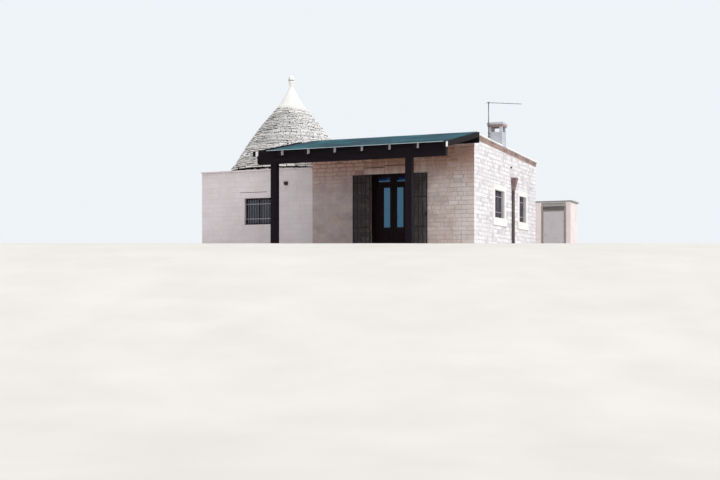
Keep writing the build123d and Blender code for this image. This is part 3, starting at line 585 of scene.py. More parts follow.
class Piece:
    """A mesh that grows shape by shape, in the house's own metres.

    A shape's finish is given by its place in the list of the piece's finishes.
    """

    def __init__(self, name: str, *finishes: Finish) -> None:
        """Starts an empty piece with its name and its finishes."""
        self.name = name
        self.finishes = finishes
        self.mesh = bmesh.new()

    def box(
        self, x: Pair, y: Pair, z: Pair, bevel: float = 0.0, finish: int = 0, turn: Matrix = Matrix()
    ) -> None:
        """Adds a block between two values on each axis, with bevelled edges.

        Args:
            x, y, z: The block's ranges.
            bevel: Width of the bevel on its edges.
            finish: Which of the piece's finishes it has.
            turn: A matrix that then moves the block.
        """
        middle = Vector((sum(x) / 2, sum(y) / 2, sum(z) / 2))
        size = (x[1] - x[0], y[1] - y[0], z[1] - z[0])
        place = turn @ (Matrix.Translation(middle) @ Matrix.Diagonal((*size, 1.0)))
        corners = bmesh.ops.create_cube(self.mesh, size=1.0, matrix=place)["verts"]
        faces = {f for v in corners for f in v.link_faces}
        if bevel > 0:
            edges = list({e for v in corners for e in v.link_edges})
            form = {"offset": min(bevel, 0.3 * min(size)), "segments": 2, "profile": 0.6}
            cut = bmesh.ops.bevel(self.mesh, geom=edges, affect="EDGES", **form)
            faces = {f for f in faces if f.is_valid} | set(cut["faces"])
        for face in faces:
            face.material_index = finish

    def prism(self, outline: Sequence[Pair], start: float, length: float) -> None:
        """Adds a flat outline across the X axis, from its start on that axis for a length."""
        near = [self.mesh.verts.new((start, y, z)) for y, z in outline]
        far = [self.mesh.verts.new(vert.co + Vector((length, 0, 0))) for vert in near]
        faces = [self.mesh.faces.new(near), self.mesh.faces.new(list(reversed(far)))]
        for place, vert in enumerate(near):
            after = (place + 1) % len(near)
            faces.append(self.mesh.faces.new((vert, far[place], far[after], near[after])))
        bmesh.ops.recalc_face_normals(self.mesh, faces=faces)

    def bar(
        self, start: Point, end: Point, radius: float, sides: int = 16, finish: int = 0, tip: float = 0.0
    ) -> None:
        """Adds a round bar between two points, or one that tapers to a tip's radius."""
        first, last = Vector(start), Vector(end)
        run = last - first
        place = Matrix.Translation((first + last) / 2) @ run.to_track_quat("Z", "Y").to_matrix().to_4x4()
        form = {"radius1": radius, "radius2": tip or radius, "depth": run.length, "segments": sides}
        made = bmesh.ops.create_cone(self.mesh, cap_ends=True, matrix=place, **form)
        for face in {f for v in made["verts"] for f in v.link_faces}:
            face.material_index = finish
            face.smooth = len(face.verts) == 4

    def post(self, axis: Pair, z: Pair, radius: float, sides: int = 16, finish: int = 0) -> None:
        """Adds an upright round bar on an axis, between two heights."""
        self.bar((*axis, z[0]), (*axis, z[1]), radius, sides, finish)

    def hinge(self, axis: Pair, low: float, x: Pair, y: Pair, fixed: bool, finish: int = 0) -> None:
        """Adds half a hinge: a knuckle on a lug, and the pin where it is the fixed half.

        Args:
            axis: Where the hinge turns.
            low: Foot of the fixed half; the moving half rests just above that one's knuckle.
            x, y: The lug's ranges.
            fixed: Whether this is the fixed half.
            finish: Which of the piece's finishes it has.
        """
        knuckle, clearance = 0.055, 0.0003
        foot = low if fixed else low + knuckle + clearance
        self.post(axis, (foot, foot + knuckle), 0.01, 16, finish)
        if fixed:
            self.post(axis, (foot + 0.05, foot + 0.1), 0.005, 12, finish)
        self.box(x, y, (foot + 0.005, foot + 0.05), 0.001, finish)

    def turned(self, profile: Sequence[Pair], sides: int) -> None:
        """Adds a closed form turned about the cone's axis.

        Args:
            profile: Radius and height of each point, from the foot to the tip.
            sides: How many faces go round.
        """
        turns = [math.tau * step / sides for step in range(sides)]
        spots = [[(r * math.cos(turn), r * math.sin(turn), z) for turn in turns] for r, z in profile]
        rings = [[self.mesh.verts.new(spot) for spot in ring] for ring in spots]
        self.mesh.faces.new(list(reversed(rings[0])))
        self.mesh.faces.new(rings[-1])
        for low, high in zip(rings, rings[1:]):
            for step in range(sides):
                after = (step + 1) % sides
                self.mesh.faces.new((low[step], low[after], high[after], high[step])).smooth = True

    def finished(self, *nodes: str, body: str = "house") -> None:
        """Turns the shapes into an object and mounts it.

        Args:
            nodes: The frame's nodes that it replaces.
            body: The body it rides on.
        """
        data = bpy.data.meshes.new(self.name)
        self.mesh.normal_update()
        self.mesh.to_mesh(data)
        self.mesh.free()
        for finish in self.finishes:
            data.materials.append(finish.material())
        mount(add_object(self.name, data), self.finishes[0], body, *nodes)


# Stones laid by Geometry Nodes


@dataclass(frozen=True)
class Cut:
    """How a stone is cut: its faces' grid and its worn edges."""

    along: int = 4
    deep: int = 2
    up: int = 4
    border: float = 0.014
    chamfer: float = 0.006
    wander: float = 0.003


FINE_CUT = Cut(border=0.012, chamfer=0.0025, wander=0.0012)
SMOOTH_CUT = Cut(border=0.016, chamfer=0.004, wander=0.0015)
PORCH_CUT = Cut(border=0.018, chamfer=0.006, wander=0.0035)
ROUGH_CUT = Cut(border=0.022, chamfer=0.009, wander=0.0045)
SLAB_CUT = Cut(4, 4, 2, border=0.03, chamfer=0.008, wander=0.003)
BAND_CUT = Cut(border=0.02, chamfer=0.006, wander=0.0025)
CONE_CUT = Cut(border=0.008, chamfer=0.003, wander=0.0025)
BAR_CUT = Cut(4, 4, 2, border=0.004, chamfer=0.002, wander=0.0002)
WIRE_CUT = Cut(2, 2, 2, border=0.0, chamfer=0.0, wander=0.0)


@dataclass
class Stone:
    """One stone: its middle, its size and its turn about the three axes."""

    middle: Point
    size: Point
    turn: Point
    tone: float = 0.5


class LaidStones:
    """A Geometry Nodes tree that sets a cut stone on every point of a cloud."""

    NAME = "Laid stones"
    FORM = ("corner", "size", "turn")

    @classmethod
    def tree(cls) -> bpy.types.NodeTree:
        """The tree, built the first time it is asked for."""
        return bpy.data.node_groups.get(cls.NAME) or cls._build()

    @classmethod
    def _build(cls) -> bpy.types.NodeTree:
        """Builds the tree: a gridded cube on each point, sized, worn and turned."""
        inputs = {"Geometry": SOLID, "Along": WHOLE, "Deep": WHOLE, "Up": WHOLE}
        inputs |= {"Border": NUMBER, "Chamfer": NUMBER, "Wander": NUMBER, "Material": MATERIAL}
        graph, given, wanted = new_group(cls.NAME, inputs, {"Geometry": SOLID}, "GeometryNodeTree")
        counts = {"Vertices X": given["Along"], "Vertices Y": given["Deep"], "Vertices Z": given["Up"]}
        cube = graph.node("GeometryNodeMeshCube", {"Size": EVEN, **counts}).outputs["Mesh"]
        spot = graph.node("GeometryNodeInputPosition").outputs[0]
        signs = {"Name": "corner", "Value": graph.scaled(spot, 2.0)}
        store = {"data_type": "FLOAT_VECTOR", "domain": "POINT"}
        marked = graph.shape("GeometryNodeStoreNamedAttribute", cube, signs, **store)
        laid = {"Points": given["Geometry"], "Instance": marked}
        placed = graph.node("GeometryNodeInstanceOnPoints", laid).outputs[0]
        real = graph.shape("GeometryNodeRealizeInstances", placed)
        read = "GeometryNodeInputNamedAttribute"
        corner, size, turn = (
            graph.node(read, {"Name": name}, data_type="FLOAT_VECTOR").outputs[0] for name in cls.FORM
        )
        # A vertex on an edge or a corner has two or three coordinates at the cube's full reach.
        outer = graph.vector("FLOOR", graph.vector("ADD", graph.vector("ABSOLUTE", corner), (0.01,) * 3))
        inner = graph.vector("SUBTRACT", EVEN, outer)
        edge = graph.math("GREATER_THAN", graph.vector("DOT_PRODUCT", outer, EVEN), 1.5)
        worn = graph.scaled(graph.scaled(outer, given["Chamfer"]), edge)
        half, step_in = graph.scaled(size, 0.5), graph.scaled(inner, given["Border"])
        reach = graph.vector("SUBTRACT", graph.vector("SUBTRACT", half, step_in), worn)
        kept = graph.vector("MAXIMUM", reach, graph.scaled(half, 0.3))
        local = graph.vector("MULTIPLY", graph.vector("SIGN", corner), kept)
        centre = graph.vector("SUBTRACT", spot, graph.scaled(corner, 0.5))
        seat = graph.vector("ADD", graph.scaled(centre, 13.0), graph.scaled(local, 9.0))
        stray = graph.vector("SUBTRACT", graph.noise(seat, 1.0, 1.0, output="Color"), (0.5,) * 3)
        strayed = graph.vector("ADD", local, graph.scaled(graph.scaled(stray, 4.0), given["Wander"]))
        spin = {"Vector": strayed, "Rotation": turn}
        turned = graph.node("ShaderNodeVectorRotate", spin, rotation_type="EULER_XYZ").outputs[0]
        final = {"Position": graph.vector("ADD", centre, turned)}
        last = graph.shape("GeometryNodeSetPosition", real, final)
        for name in cls.FORM:
            last = graph.shape("GeometryNodeRemoveAttribute", last, {"Name": name})
        coated = graph.shape("GeometryNodeSetMaterial", last, {"Material": given["Material"]})
        graph.feed(wanted["Geometry"], coated)
        return graph.tree

    @classmethod
    def lay(
        cls, name: str, stones: Sequence[Stone], cut: Cut, finish: Finish, *nodes: str, body: str = "house"
    ) -> bpy.types.Object:
        """Lays stones as one piece.

        Args:
            name: The piece's name.
            stones: The stones.
            cut: How they are cut.
            finish: Their finish.
            nodes: The frame's nodes that they replace.
            body: The body they ride on.

        Returns:
            The piece's object.
        """
        cloud = bpy.data.meshes.new(name)
        cloud.from_pydata([stone.middle for stone in stones], [], [])
        for label in ("size", "turn"):
            values = [number for stone in stones for number in getattr(stone, label)]
            cloud.attributes.new(label, "FLOAT_VECTOR", "POINT").data.foreach_set("vector", values)
        tones = [stone.tone for stone in stones]
        cloud.attributes.new("tone", "FLOAT", "POINT").data.foreach_set("value", tones)
        piece = add_object(name, cloud)
        settings = {label.capitalize(): value for label, value in vars(cut).items()}
        run_tree(piece, cls.tree(), {**settings, "Material": finish.material()})
        settle(piece)
        return mount(piece, finish, body, *nodes)


lay = LaidStones.lay


# Masonry


def beside(start: Pair, heading: float, along: float, deep: float, height: float) -> Point:
    """A point at a distance along a heading and to the left of it, at a height."""
    cos, sin = math.cos(heading), math.sin(heading)
    return (start[0] + along * cos - deep * sin, start[1] + along * sin + deep * cos, height)


@dataclass(frozen=True)
class Bond:
    """How a wall's stones are coursed and how far they stand out."""

    course: float
    length: Pair
    joint: float
    proud: float
    relief: float
    depth: float = 0.11
    tilt: float = 0.0
    quoin: Pair = (0.42, 0.24)


@dataclass(frozen=True)
class Gap:
    """A rectangle of a wall's face that its courses leave free."""

    start: float
    end: float
    low: float
    high: float


@dataclass
class Face:
    """An upright face of a building, seen from outside with its start at the left."""

    start: Pair
    heading: float
    length: float
    top: Callable[[float], float]
    breaks: Sequence[float]
    gaps: Sequence[Gap]
    start_quoin: bool
    end_quoin: bool

    # A stone that the face's top would cut thinner than this is left out.
    THINNEST: ClassVar[float] = 0.025

    def place(self, along: float, depth: float, height: float) -> Point:
        """A point at a distance along the face and behind it, at a height."""
        return beside(self.start, self.heading, along, depth, height)

    def levels(self, course: float) -> list[float]:
        """Heights of the courses' beds, which meet every break in the face."""
        crown = max(self.top(0.0), self.top(self.length))
        stops = sorted({0.0, crown, *(b for b in self.breaks if b < crown)})
        beds = [0.0]
        for low, high in zip(stops, stops[1:]):
            count = max(1, round((high - low) / course))
            beds += [low + (high - low) * step / count for step in range(1, count + 1)]
        return beds

    def runs(self, low: float, high: float, start: float, end: float) -> list[Pair]:
        """The free lengths of a course between its two ends."""
        free = [(start, end)]
        for gap in self.gaps:
            if gap.low < high - 0.01 and gap.high > low + 0.01:
                sides = [((a, min(b, gap.start)), (max(a, gap.end), b)) for a, b in free]
                free = [(a, b) for pair in sides for a, b in pair if b > a]
        return [(first, last) for first, last in free if last - first > 0.03]

    def lay(self, bond: Bond, seed: int) -> list[Stone]:
        """Lays the face's courses.

        Args:
            bond: How its stones are laid.
            seed: Where its own random draws start.

        Returns:
            The face's stones, with the quoins of its end corner.
        """
        draw = random.Random(seed)
        stones = []
        beds = self.levels(bond.course)
        for number, (low, high) in enumerate(zip(beds, beds[1:])):
            near, far = bond.quoin if number % 2 == 0 else reversed(bond.quoin)
            start = near if self.start_quoin else 0.0
            end = self.length - (far if self.end_quoin else 0.0)
            if self.end_quoin:
                stones += self.corner_stone(bond, (low, high), (far, near), draw)
            for cursor, last in self.runs(low, high, start, end):
                while cursor < last - 1e-6:
                    width = draw.uniform(*bond.length)
                    if last - cursor - width < bond.length[0] * 0.7:
                        width = last - cursor
                        if width > bond.length[1] * 1.2:
                            width /= 2
                    stones += self.course_stone(bond, (cursor, cursor + width), (low, high), draw)
                    cursor += width
        return stones

    def course_stone(self, bond: Bond, along: Pair, height: Pair, draw: random.Random) -> list[Stone]:
        """A stone of a course, cut down to the face's top, or nothing where it is above it."""
        top = min(height[1], self.top(sum(along) / 2))
        if top - height[0] < self.THINNEST:
            return []
        out = bond.proud - draw.uniform(0, bond.relief)
        size = (along[1] - along[0] - bond.joint, bond.depth, top - height[0] - bond.joint)
        turn = tuple(draw.uniform(-bond.tilt, bond.tilt) for _ in range(2))
        where = self.place(sum(along) / 2, bond.depth / 2 - out, (height[0] + top) / 2)
        return [Stone(where, size, (*turn, self.heading), draw.random())]

    def corner_stone(self, bond: Bond, height: Pair, reach: Pair, draw: random.Random) -> list[Stone]:
        """The quoin at the end of the face, long on one side and short on the other by turns."""
        top = min(height[1], self.top(self.length))
        if top - height[0] < self.THINNEST:
            return []
        wide, deep = (side + bond.proud - bond.joint / 2 for side in reach)
        size = (wide, deep, top - height[0] - bond.joint)
        where = self.place(self.length + bond.proud - wide / 2, deep / 2 - bond.proud, (height[0] + top) / 2)
        return [Stone(where, size, (0.0, 0.0, self.heading), draw.random())]

    def block_stone(self, bond: Bond, gap: Gap, tone: float = 0.6, proud: float = 0.0) -> Stone:
        """One big stone that fills a gap of the face, such as a lintel."""
        size = (gap.end - gap.start - bond.joint, bond.depth, gap.high - gap.low - bond.joint)
        behind = bond.depth / 2 - (bond.proud + proud)
        where = self.place((gap.start + gap.end) / 2, behind, (gap.low + gap.high) / 2)
        return Stone(where, size, (0.0, 0.0, self.heading), tone)


@dataclass
class Row:
    """A row of flat slabs along an edge: its outline seen from outside, and how it falls."""

    start: Pair
    heading: float
    length: float
    depth: float
    low: float
    thickness: float
    pitch: float = 0.0
    roll: float = 0.0

    def slabs(self, lengths: Pair, joint: float, jitter: float, seed: int) -> list[Stone]:
        """The row's slabs.

        Args:
            lengths: Shortest and longest slab.
            joint: Width of the joint between two slabs.
            jitter: How far a slab's edge may stand in or out.
            seed: Where the row's own random draws start.

        Returns:
            One stone for each slab.
        """
        draw = random.Random(seed)
        stones, cursor = [], 0.0
        while cursor < self.length - 1e-6:
            width = draw.uniform(*lengths)
            if self.length - cursor - width < 0.6 * lengths[0]:
                width = self.length - cursor
            along = cursor + width / 2
            inset = draw.uniform(0, jitter)
            lift = draw.uniform(-0.5, 0.5) * jitter
            size = (width - joint, self.depth - inset, self.thickness - joint / 2 + lift)
            height = self.low + self.thickness / 2 - self.pitch * along + lift / 2
            spot = beside(self.start, self.heading, along, (self.depth + inset) / 2, height)
            stones.append(Stone(spot, size, (self.roll, self.pitch, self.heading), draw.random()))
            cursor += width
        return stones


def laid_rows(rows: Sequence[Row], lengths: Pair, joint: float, jitter: float, seed: int) -> list[Stone]:
    """The slabs of several rows, each with the next seed; the rest is as for Row.slabs."""
    laid = [row.slabs(lengths, joint, jitter, seed + place) for place, row in enumerate(rows)]
    return [slab for slabs in laid for slab in slabs]


def paved(x: Pair, y: Pair, top: float, size: Pair, seed: int, round_hole: float = 0.0) -> list[Stone]:
    """Flat slabs in rows over a rectangle.

    Args:
        x, y: The rectangle.
        top: Height of the slabs' top.
        size: Depth of a row, and the mean length of a slab.
        seed: Where its random draws start.
        round_hole: Radius about the cone's axis inside which no slab has its middle.

    Returns:
        The slabs.
    """
    draw = random.Random(seed)
    rows = max(1, round((y[1] - y[0]) / size[0]))
    step, joint, thickness = (y[1] - y[0]) / rows, 0.012, 0.04
    stones = []
    for row in range(rows):
        middle = y[0] + step * (row + 0.5)
        cursor = x[0]
        while cursor < x[1] - 1e-6:
            width = draw.uniform(0.7, 1.3) * size[1]
            if x[1] - cursor - width < 0.45 * size[1]:
                width = x[1] - cursor
            spot = cursor + width / 2
            cursor += width
            tone, settled = draw.random(), draw.uniform(0, 0.004)
            if math.hypot(spot, middle) > round_hole:
                place = (spot, middle, top - thickness / 2 - settled)
                stones.append(Stone(place, (width - joint, step - joint, thickness), (0.0, 0.0, 0.0), tone))
    return stones


# The plan that several parts share: the front and the back of the wing, its joint with the trullo
# and its outer side, the fall of its walls in each metre, and the middle of its doorway.
FRONT, BACK = -2.65, 5.05
JOINT, SIDE = 2.16, 7.89
FALL = 0.17 / 7.7
DOOR_MIDDLE = 4.99


def wall_top(y: float) -> float:
    """Height of the wing's walls, which fall a little towards the back."""
    return 3.64 - FALL * (y - FRONT)


def band_bottom(y: float) -> float:
    """Underside of the brown band under the coping."""
    return wall_top(y) - 0.15


def flat(height: float) -> Callable[[float], float]:
    """A face's top that keeps one height."""
    return lambda along: height


def over(x: Pair, right: bool) -> Pair:
    """A range across the doorway, swapped to the other side for a right-hand leaf."""
    return (2 * DOOR_MIDDLE - x[1], 2 * DOOR_MIDDLE - x[0]) if right else x


@dataclass
class TrulloBody:
    """The square stone body under the cone, with its cornice and paved terrace."""

    left: float = -2.2
    back: float = 2.65
    terrace: float = 2.76
    window: Gap = Gap(1.72, 2.80, 0.91, 1.83)
    lintel: Gap = Gap(1.54, 3.02, 1.83, 2.04)
    lintel_joint: float = 2.40
    bond: Bond = Bond(course=0.166, length=(0.24, 0.44), joint=0.005, proud=0.005, relief=0.002, tilt=0.002)
    cornice: float = 0.045
    cornice_depth: float = 0.175
    cornice_thickness: float = 0.06
    drum: float = 1.95

    def build(self) -> None:
        """Lays the facing, the cornice and the terrace."""
        walls = ("front_wall", "left_wall", "back_wall", "inner_wall", "terrace")
        dress(TRULLO_MORTAR, *(f"trullo_{part}" for part in walls))
        dress(PAVING, "trullo_floor")
        width, depth = JOINT - self.left, self.back - FRONT
        breaks = (self.window.low, self.window.high, self.lintel.high)
        crown = flat(self.terrace)
        faces = (
            Face((self.left, self.back), -QUARTER, depth, crown, breaks, (), True, True),
            Face((self.left, FRONT), 0.0, width, crown, breaks, (self.window, self.lintel), True, False),
            Face((JOINT, self.back), math.pi, width, crown, breaks, (), False, True),
        )
        stones = [stone for number, face in enumerate(faces) for stone in face.lay(self.bond, 11 + number)]
        for start, end in ((self.lintel.start, self.lintel_joint), (self.lintel_joint, self.lintel.end)):
            lintel = Gap(start, end, self.lintel.low, self.lintel.high - 0.012)
            stones.append(faces[1].block_stone(self.bond, lintel, 0.7, 0.001))
        lay("trullo_facing", stones, FINE_CUT, TRULLO_STONE)
        # A near-black strip in the joint along the lintel's top: the joint, with the shade inside it painted
        # in.
        crack = Piece("trullo_lintel_crack", GAP_SHADE_FILL)
        left, right = self.left + self.lintel.start, self.left + self.lintel_joint + 0.2
        crack.box((left, right), (FRONT - 0.001, FRONT + 0.004), (self.lintel.high - 0.015, self.lintel.high))
        crack.finished()
        self.lay_cornice()
        inside = ((self.left + 0.14, JOINT), (FRONT + 0.14, self.back - 0.14))
        slabs = paved(*inside, self.terrace + 0.012, (0.3, 0.42), 41, self.drum)
        lay("trullo_terrace_paving", slabs, SLAB_CUT, PAVING)

    def lay_cornice(self) -> None:
        """Thin jutting slabs along the front, the back and the left edge."""
        out, form = self.cornice, (self.cornice_depth, self.terrace, self.cornice_thickness)
        length = JOINT - self.left + out
        rows = (
            Row((self.left - out, FRONT - out), 0.0, length, *form),
            Row((JOINT, self.back + out), math.pi, length, *form),
            Row((self.left - out, self.back - 0.13), -QUARTER, self.back - FRONT - 0.26, *form),
        )
        slabs = laid_rows(rows, (0.38, 0.7), 0.008, 0.012, 31)
        lay("trullo_cornice_slabs", slabs, SLAB_CUT, TRULLO_STONE, "trullo_cornice")


@dataclass
class Cone:
    """The dry-stone cone: drum, eaves, courses of thin slabs, plastered cap and pinnacle."""

    foot: Pair = (2.07, 3.18)
    top: Pair = (0.49, 5.35)
    bow: float = 0.08
    drum_radius: float = 2.02
    drum_low: float = 2.76
    eaves_radius: float = 2.22
    eaves_low: float = 2.96
    eaves_high: float = 3.03
    courses: int = 34
    slab: float = 0.24
    neck: Pair = (0.075, 6.10)
    cap_hollow: float = 0.018
    cap_steps: int = 26
    flare: float = 0.12

    # Radius and height over the neck: the goblet up to its rim, the dark gap, the lid and its tip.
    PINNACLE: ClassVar[tuple[Pair, ...]] = (
        (0.070, -0.02), (0.078, 0.0), (0.074, 0.02), (0.076, 0.05), (0.084, 0.09), (0.097, 0.135),
        (0.110, 0.175), (0.116, 0.2), (0.118, 0.225), (0.115, 0.236), (0.106, 0.239), (0.084, 0.240),
        (0.082, 0.25), (0.084, 0.260), (0.107, 0.261), (0.115, 0.266), (0.117, 0.28), (0.113, 0.315),
        (0.100, 0.352), (0.080, 0.384), (0.055, 0.41), (0.032, 0.427), (0.014, 0.438), (0.005, 0.443),
    )

    def flank(self, steps: int = 60) -> list[Pair]:
        """Radius and height along the flank, from the edge of the eaves up to the cap."""
        (r0, z0), (r1, z1) = self.foot, self.top
        run, rise = r1 - r0, z1 - z0
        length = math.hypot(run, rise)
        path = [(self.eaves_radius, self.eaves_high)]
        for step in range(steps + 1):
            along = step / steps
            out = 4 * self.bow * along * (1 - along)
            path.append((r0 + run * along + out * rise / length, z0 + rise * along - out * run / length))
        return path

    def reach(self, height: float) -> float:
        """Distance of the flank from the axis, at a height."""
        path = self.flank()
        for (near, low), (far, high) in zip(path, path[1:]):
            if low <= height <= high:
                return near + (far - near) * (height - low) / (high - low)
        return self.top[0]

    def ring(
        self, place: Pair, size: Point, tilt: float, rough: float, draw: random.Random
    ) -> list[Stone]:
        """A ring of slabs round the axis.

        Args:
            place: Radius of the slabs' outer edges, and height of their bed.
            size: The slabs' mean width, their depth and their greatest thickness.
            tilt: How far they slope outwards.
            rough: How far an edge may stand in or out.
            draw: The cone's random draws.

        Returns:
            The ring's slabs, of more even thickness on the sunny side.
        """
        (radius, low), (width, depth, thickness) = place, size
        count = max(9, round(math.tau * radius / width))
        shares = [draw.uniform(0.7, 1.3) for _ in range(count)]
        turn = draw.uniform(0, math.tau)
        stones = []
        for share in shares:
            wide = math.tau * share / sum(shares)
            middle = turn + wide / 2
            turn += wide
            out = draw.uniform(-rough, rough)
            reach = radius + out - depth / 2 * math.cos(tilt)
            sunny = max(0.0, math.cos(middle + 0.2))
            thick = thickness * draw.uniform(0.62 + 0.28 * sunny, 1.0)
            form = (radius * wide - draw.uniform(0.006, 0.02), depth, thick)
            height = low + thick / 2 + depth / 2 * math.sin(tilt)
            spot = (reach * math.cos(middle), reach * math.sin(middle), height)
            pose = (tilt + draw.uniform(-0.04, 0.04), draw.uniform(-0.03, 0.03), middle + QUARTER)
            stones.append(Stone(spot, form, pose, draw.random()))
        return stones

    def build(self) -> None:
        """Lays the courses, the eaves and the drum, and turns the cap and the pinnacle."""
        # The frame's cone under the slabs is near-black: painted shade between the slabs.
        dress(GAP_SHADE_FILL, "cone_roof")
        draw = random.Random(5)
        slabs = []
        rise = (self.top[1] - self.eaves_high) / self.courses
        for number in range(self.courses):
            low = self.eaves_high + rise * number
            radius = self.reach(low + rise / 2) + 0.009
            layers = draw.choice((1, 2, 2))
            height = rise / layers
            for layer in range(layers):
                size = (self.slab * draw.uniform(0.7, 1.1), 0.16, height * 0.98)
                slabs += self.ring((radius, low + height * layer), size, -0.12, 0.012, draw)
        lay("cone_slabs", slabs, CONE_CUT, CONE_STONE)
        place = (self.eaves_radius + 0.008, self.eaves_low + 0.002)
        eaves = self.ring(place, (0.38, 0.3, 0.068), 0.03, 0.012, draw)
        lay("cone_eaves_slabs", eaves, SLAB_CUT, EAVES_STONE)
        drum = []
        for number in range(2):
            place = (self.drum_radius + 0.006, self.drum_low + 0.1 * number)
            drum += self.ring(place, (0.34, 0.14, 0.094), 0.0, 0.006, draw)
        lay("cone_drum_stones", drum, SLAB_CUT, CONE_STONE)
        self.turn_cap()
        self.turn_pinnacle()

    def turn_cap(self) -> None:
        """The plastered tip, hollow in its flank, with a soft lip over the last slabs."""
        (r0, z0), (r1, z1) = self.top, self.neck
        profile = [(r0 - 0.03, z0 - 0.03), (r0 + 0.012, z0 - 0.028), (r0 + 0.022, z0 - 0.008)]
        # The hollow bends the flank square to its slope: mostly inwards, and a little down.
        square, skin = (0.87, 0.48), 0.016
        for step in range(1, self.cap_steps + 1):
            along = step / self.cap_steps
            inward = 4 * self.cap_hollow * along * (1 - along)
            radius = r0 + skin + (r1 - r0 - skin) * along - inward * square[0]
            profile.append((radius, z0 + (z1 - z0) * along - inward * square[1]))
        cap = Piece("cone_plaster_cap", PLASTER)
        cap.turned(profile, 72)
        for vert in cap.mesh.verts:
            x, y, z = vert.co
            reach = math.hypot(x, y)
            if z < z0:
                # The lip hangs lower on the sunny side, and its edge wavers.
                wave = 0.06 * noise.noise(Vector((4.0 * x, 4.0 * y, 0.0)))
                drop = max(0.02, 0.075 + 0.08 * x / reach + wave)
                grow = (self.reach(z0 - drop) + reach - r0 + 0.006) / reach
                vert.co = Vector((x * grow, y * grow, z - drop))
            elif z < z0 + self.flare:
                grow = 1 + 0.12 * self.flare * (1 - (z - z0) / self.flare) ** 2 / reach
                vert.co = Vector((x * grow, y * grow, z))
            vert.co += Vector((1, 1, 0.3)) * 0.012 * noise.noise(vert.co * 4.0)
        cap.finished("cone_cap")

    def turn_pinnacle(self) -> None:
        """A goblet and its domed lid; the gap between them is near-black painted shade, and the lid's left
        side is darker: moss, and painted shade on that side.
        """
        base, gap, dark_side_until = self.neck[1], (0.24, 0.261), 0.37
        goblet = Piece("cone_pinnacle", PLASTER, GAP_SHADE_FILL, MOSSY_SHADED_PLASTER)
        goblet.turned([(radius, base + height) for radius, height in self.PINNACLE], 48)
        for face in goblet.mesh.faces:
            middle = face.calc_center_median()
            height = middle.z - base
            if gap[0] < height < gap[1]:
                face.material_index = 1
            elif gap[1] < height < dark_side_until and middle.x < -0.02:
                face.material_index = 2
        for vert in goblet.mesh.verts:
            vert.co += Vector((1, 1, 0)) * 0.003 * noise.noise(vert.co * 14.0)
        goblet.finished("pinnacle")


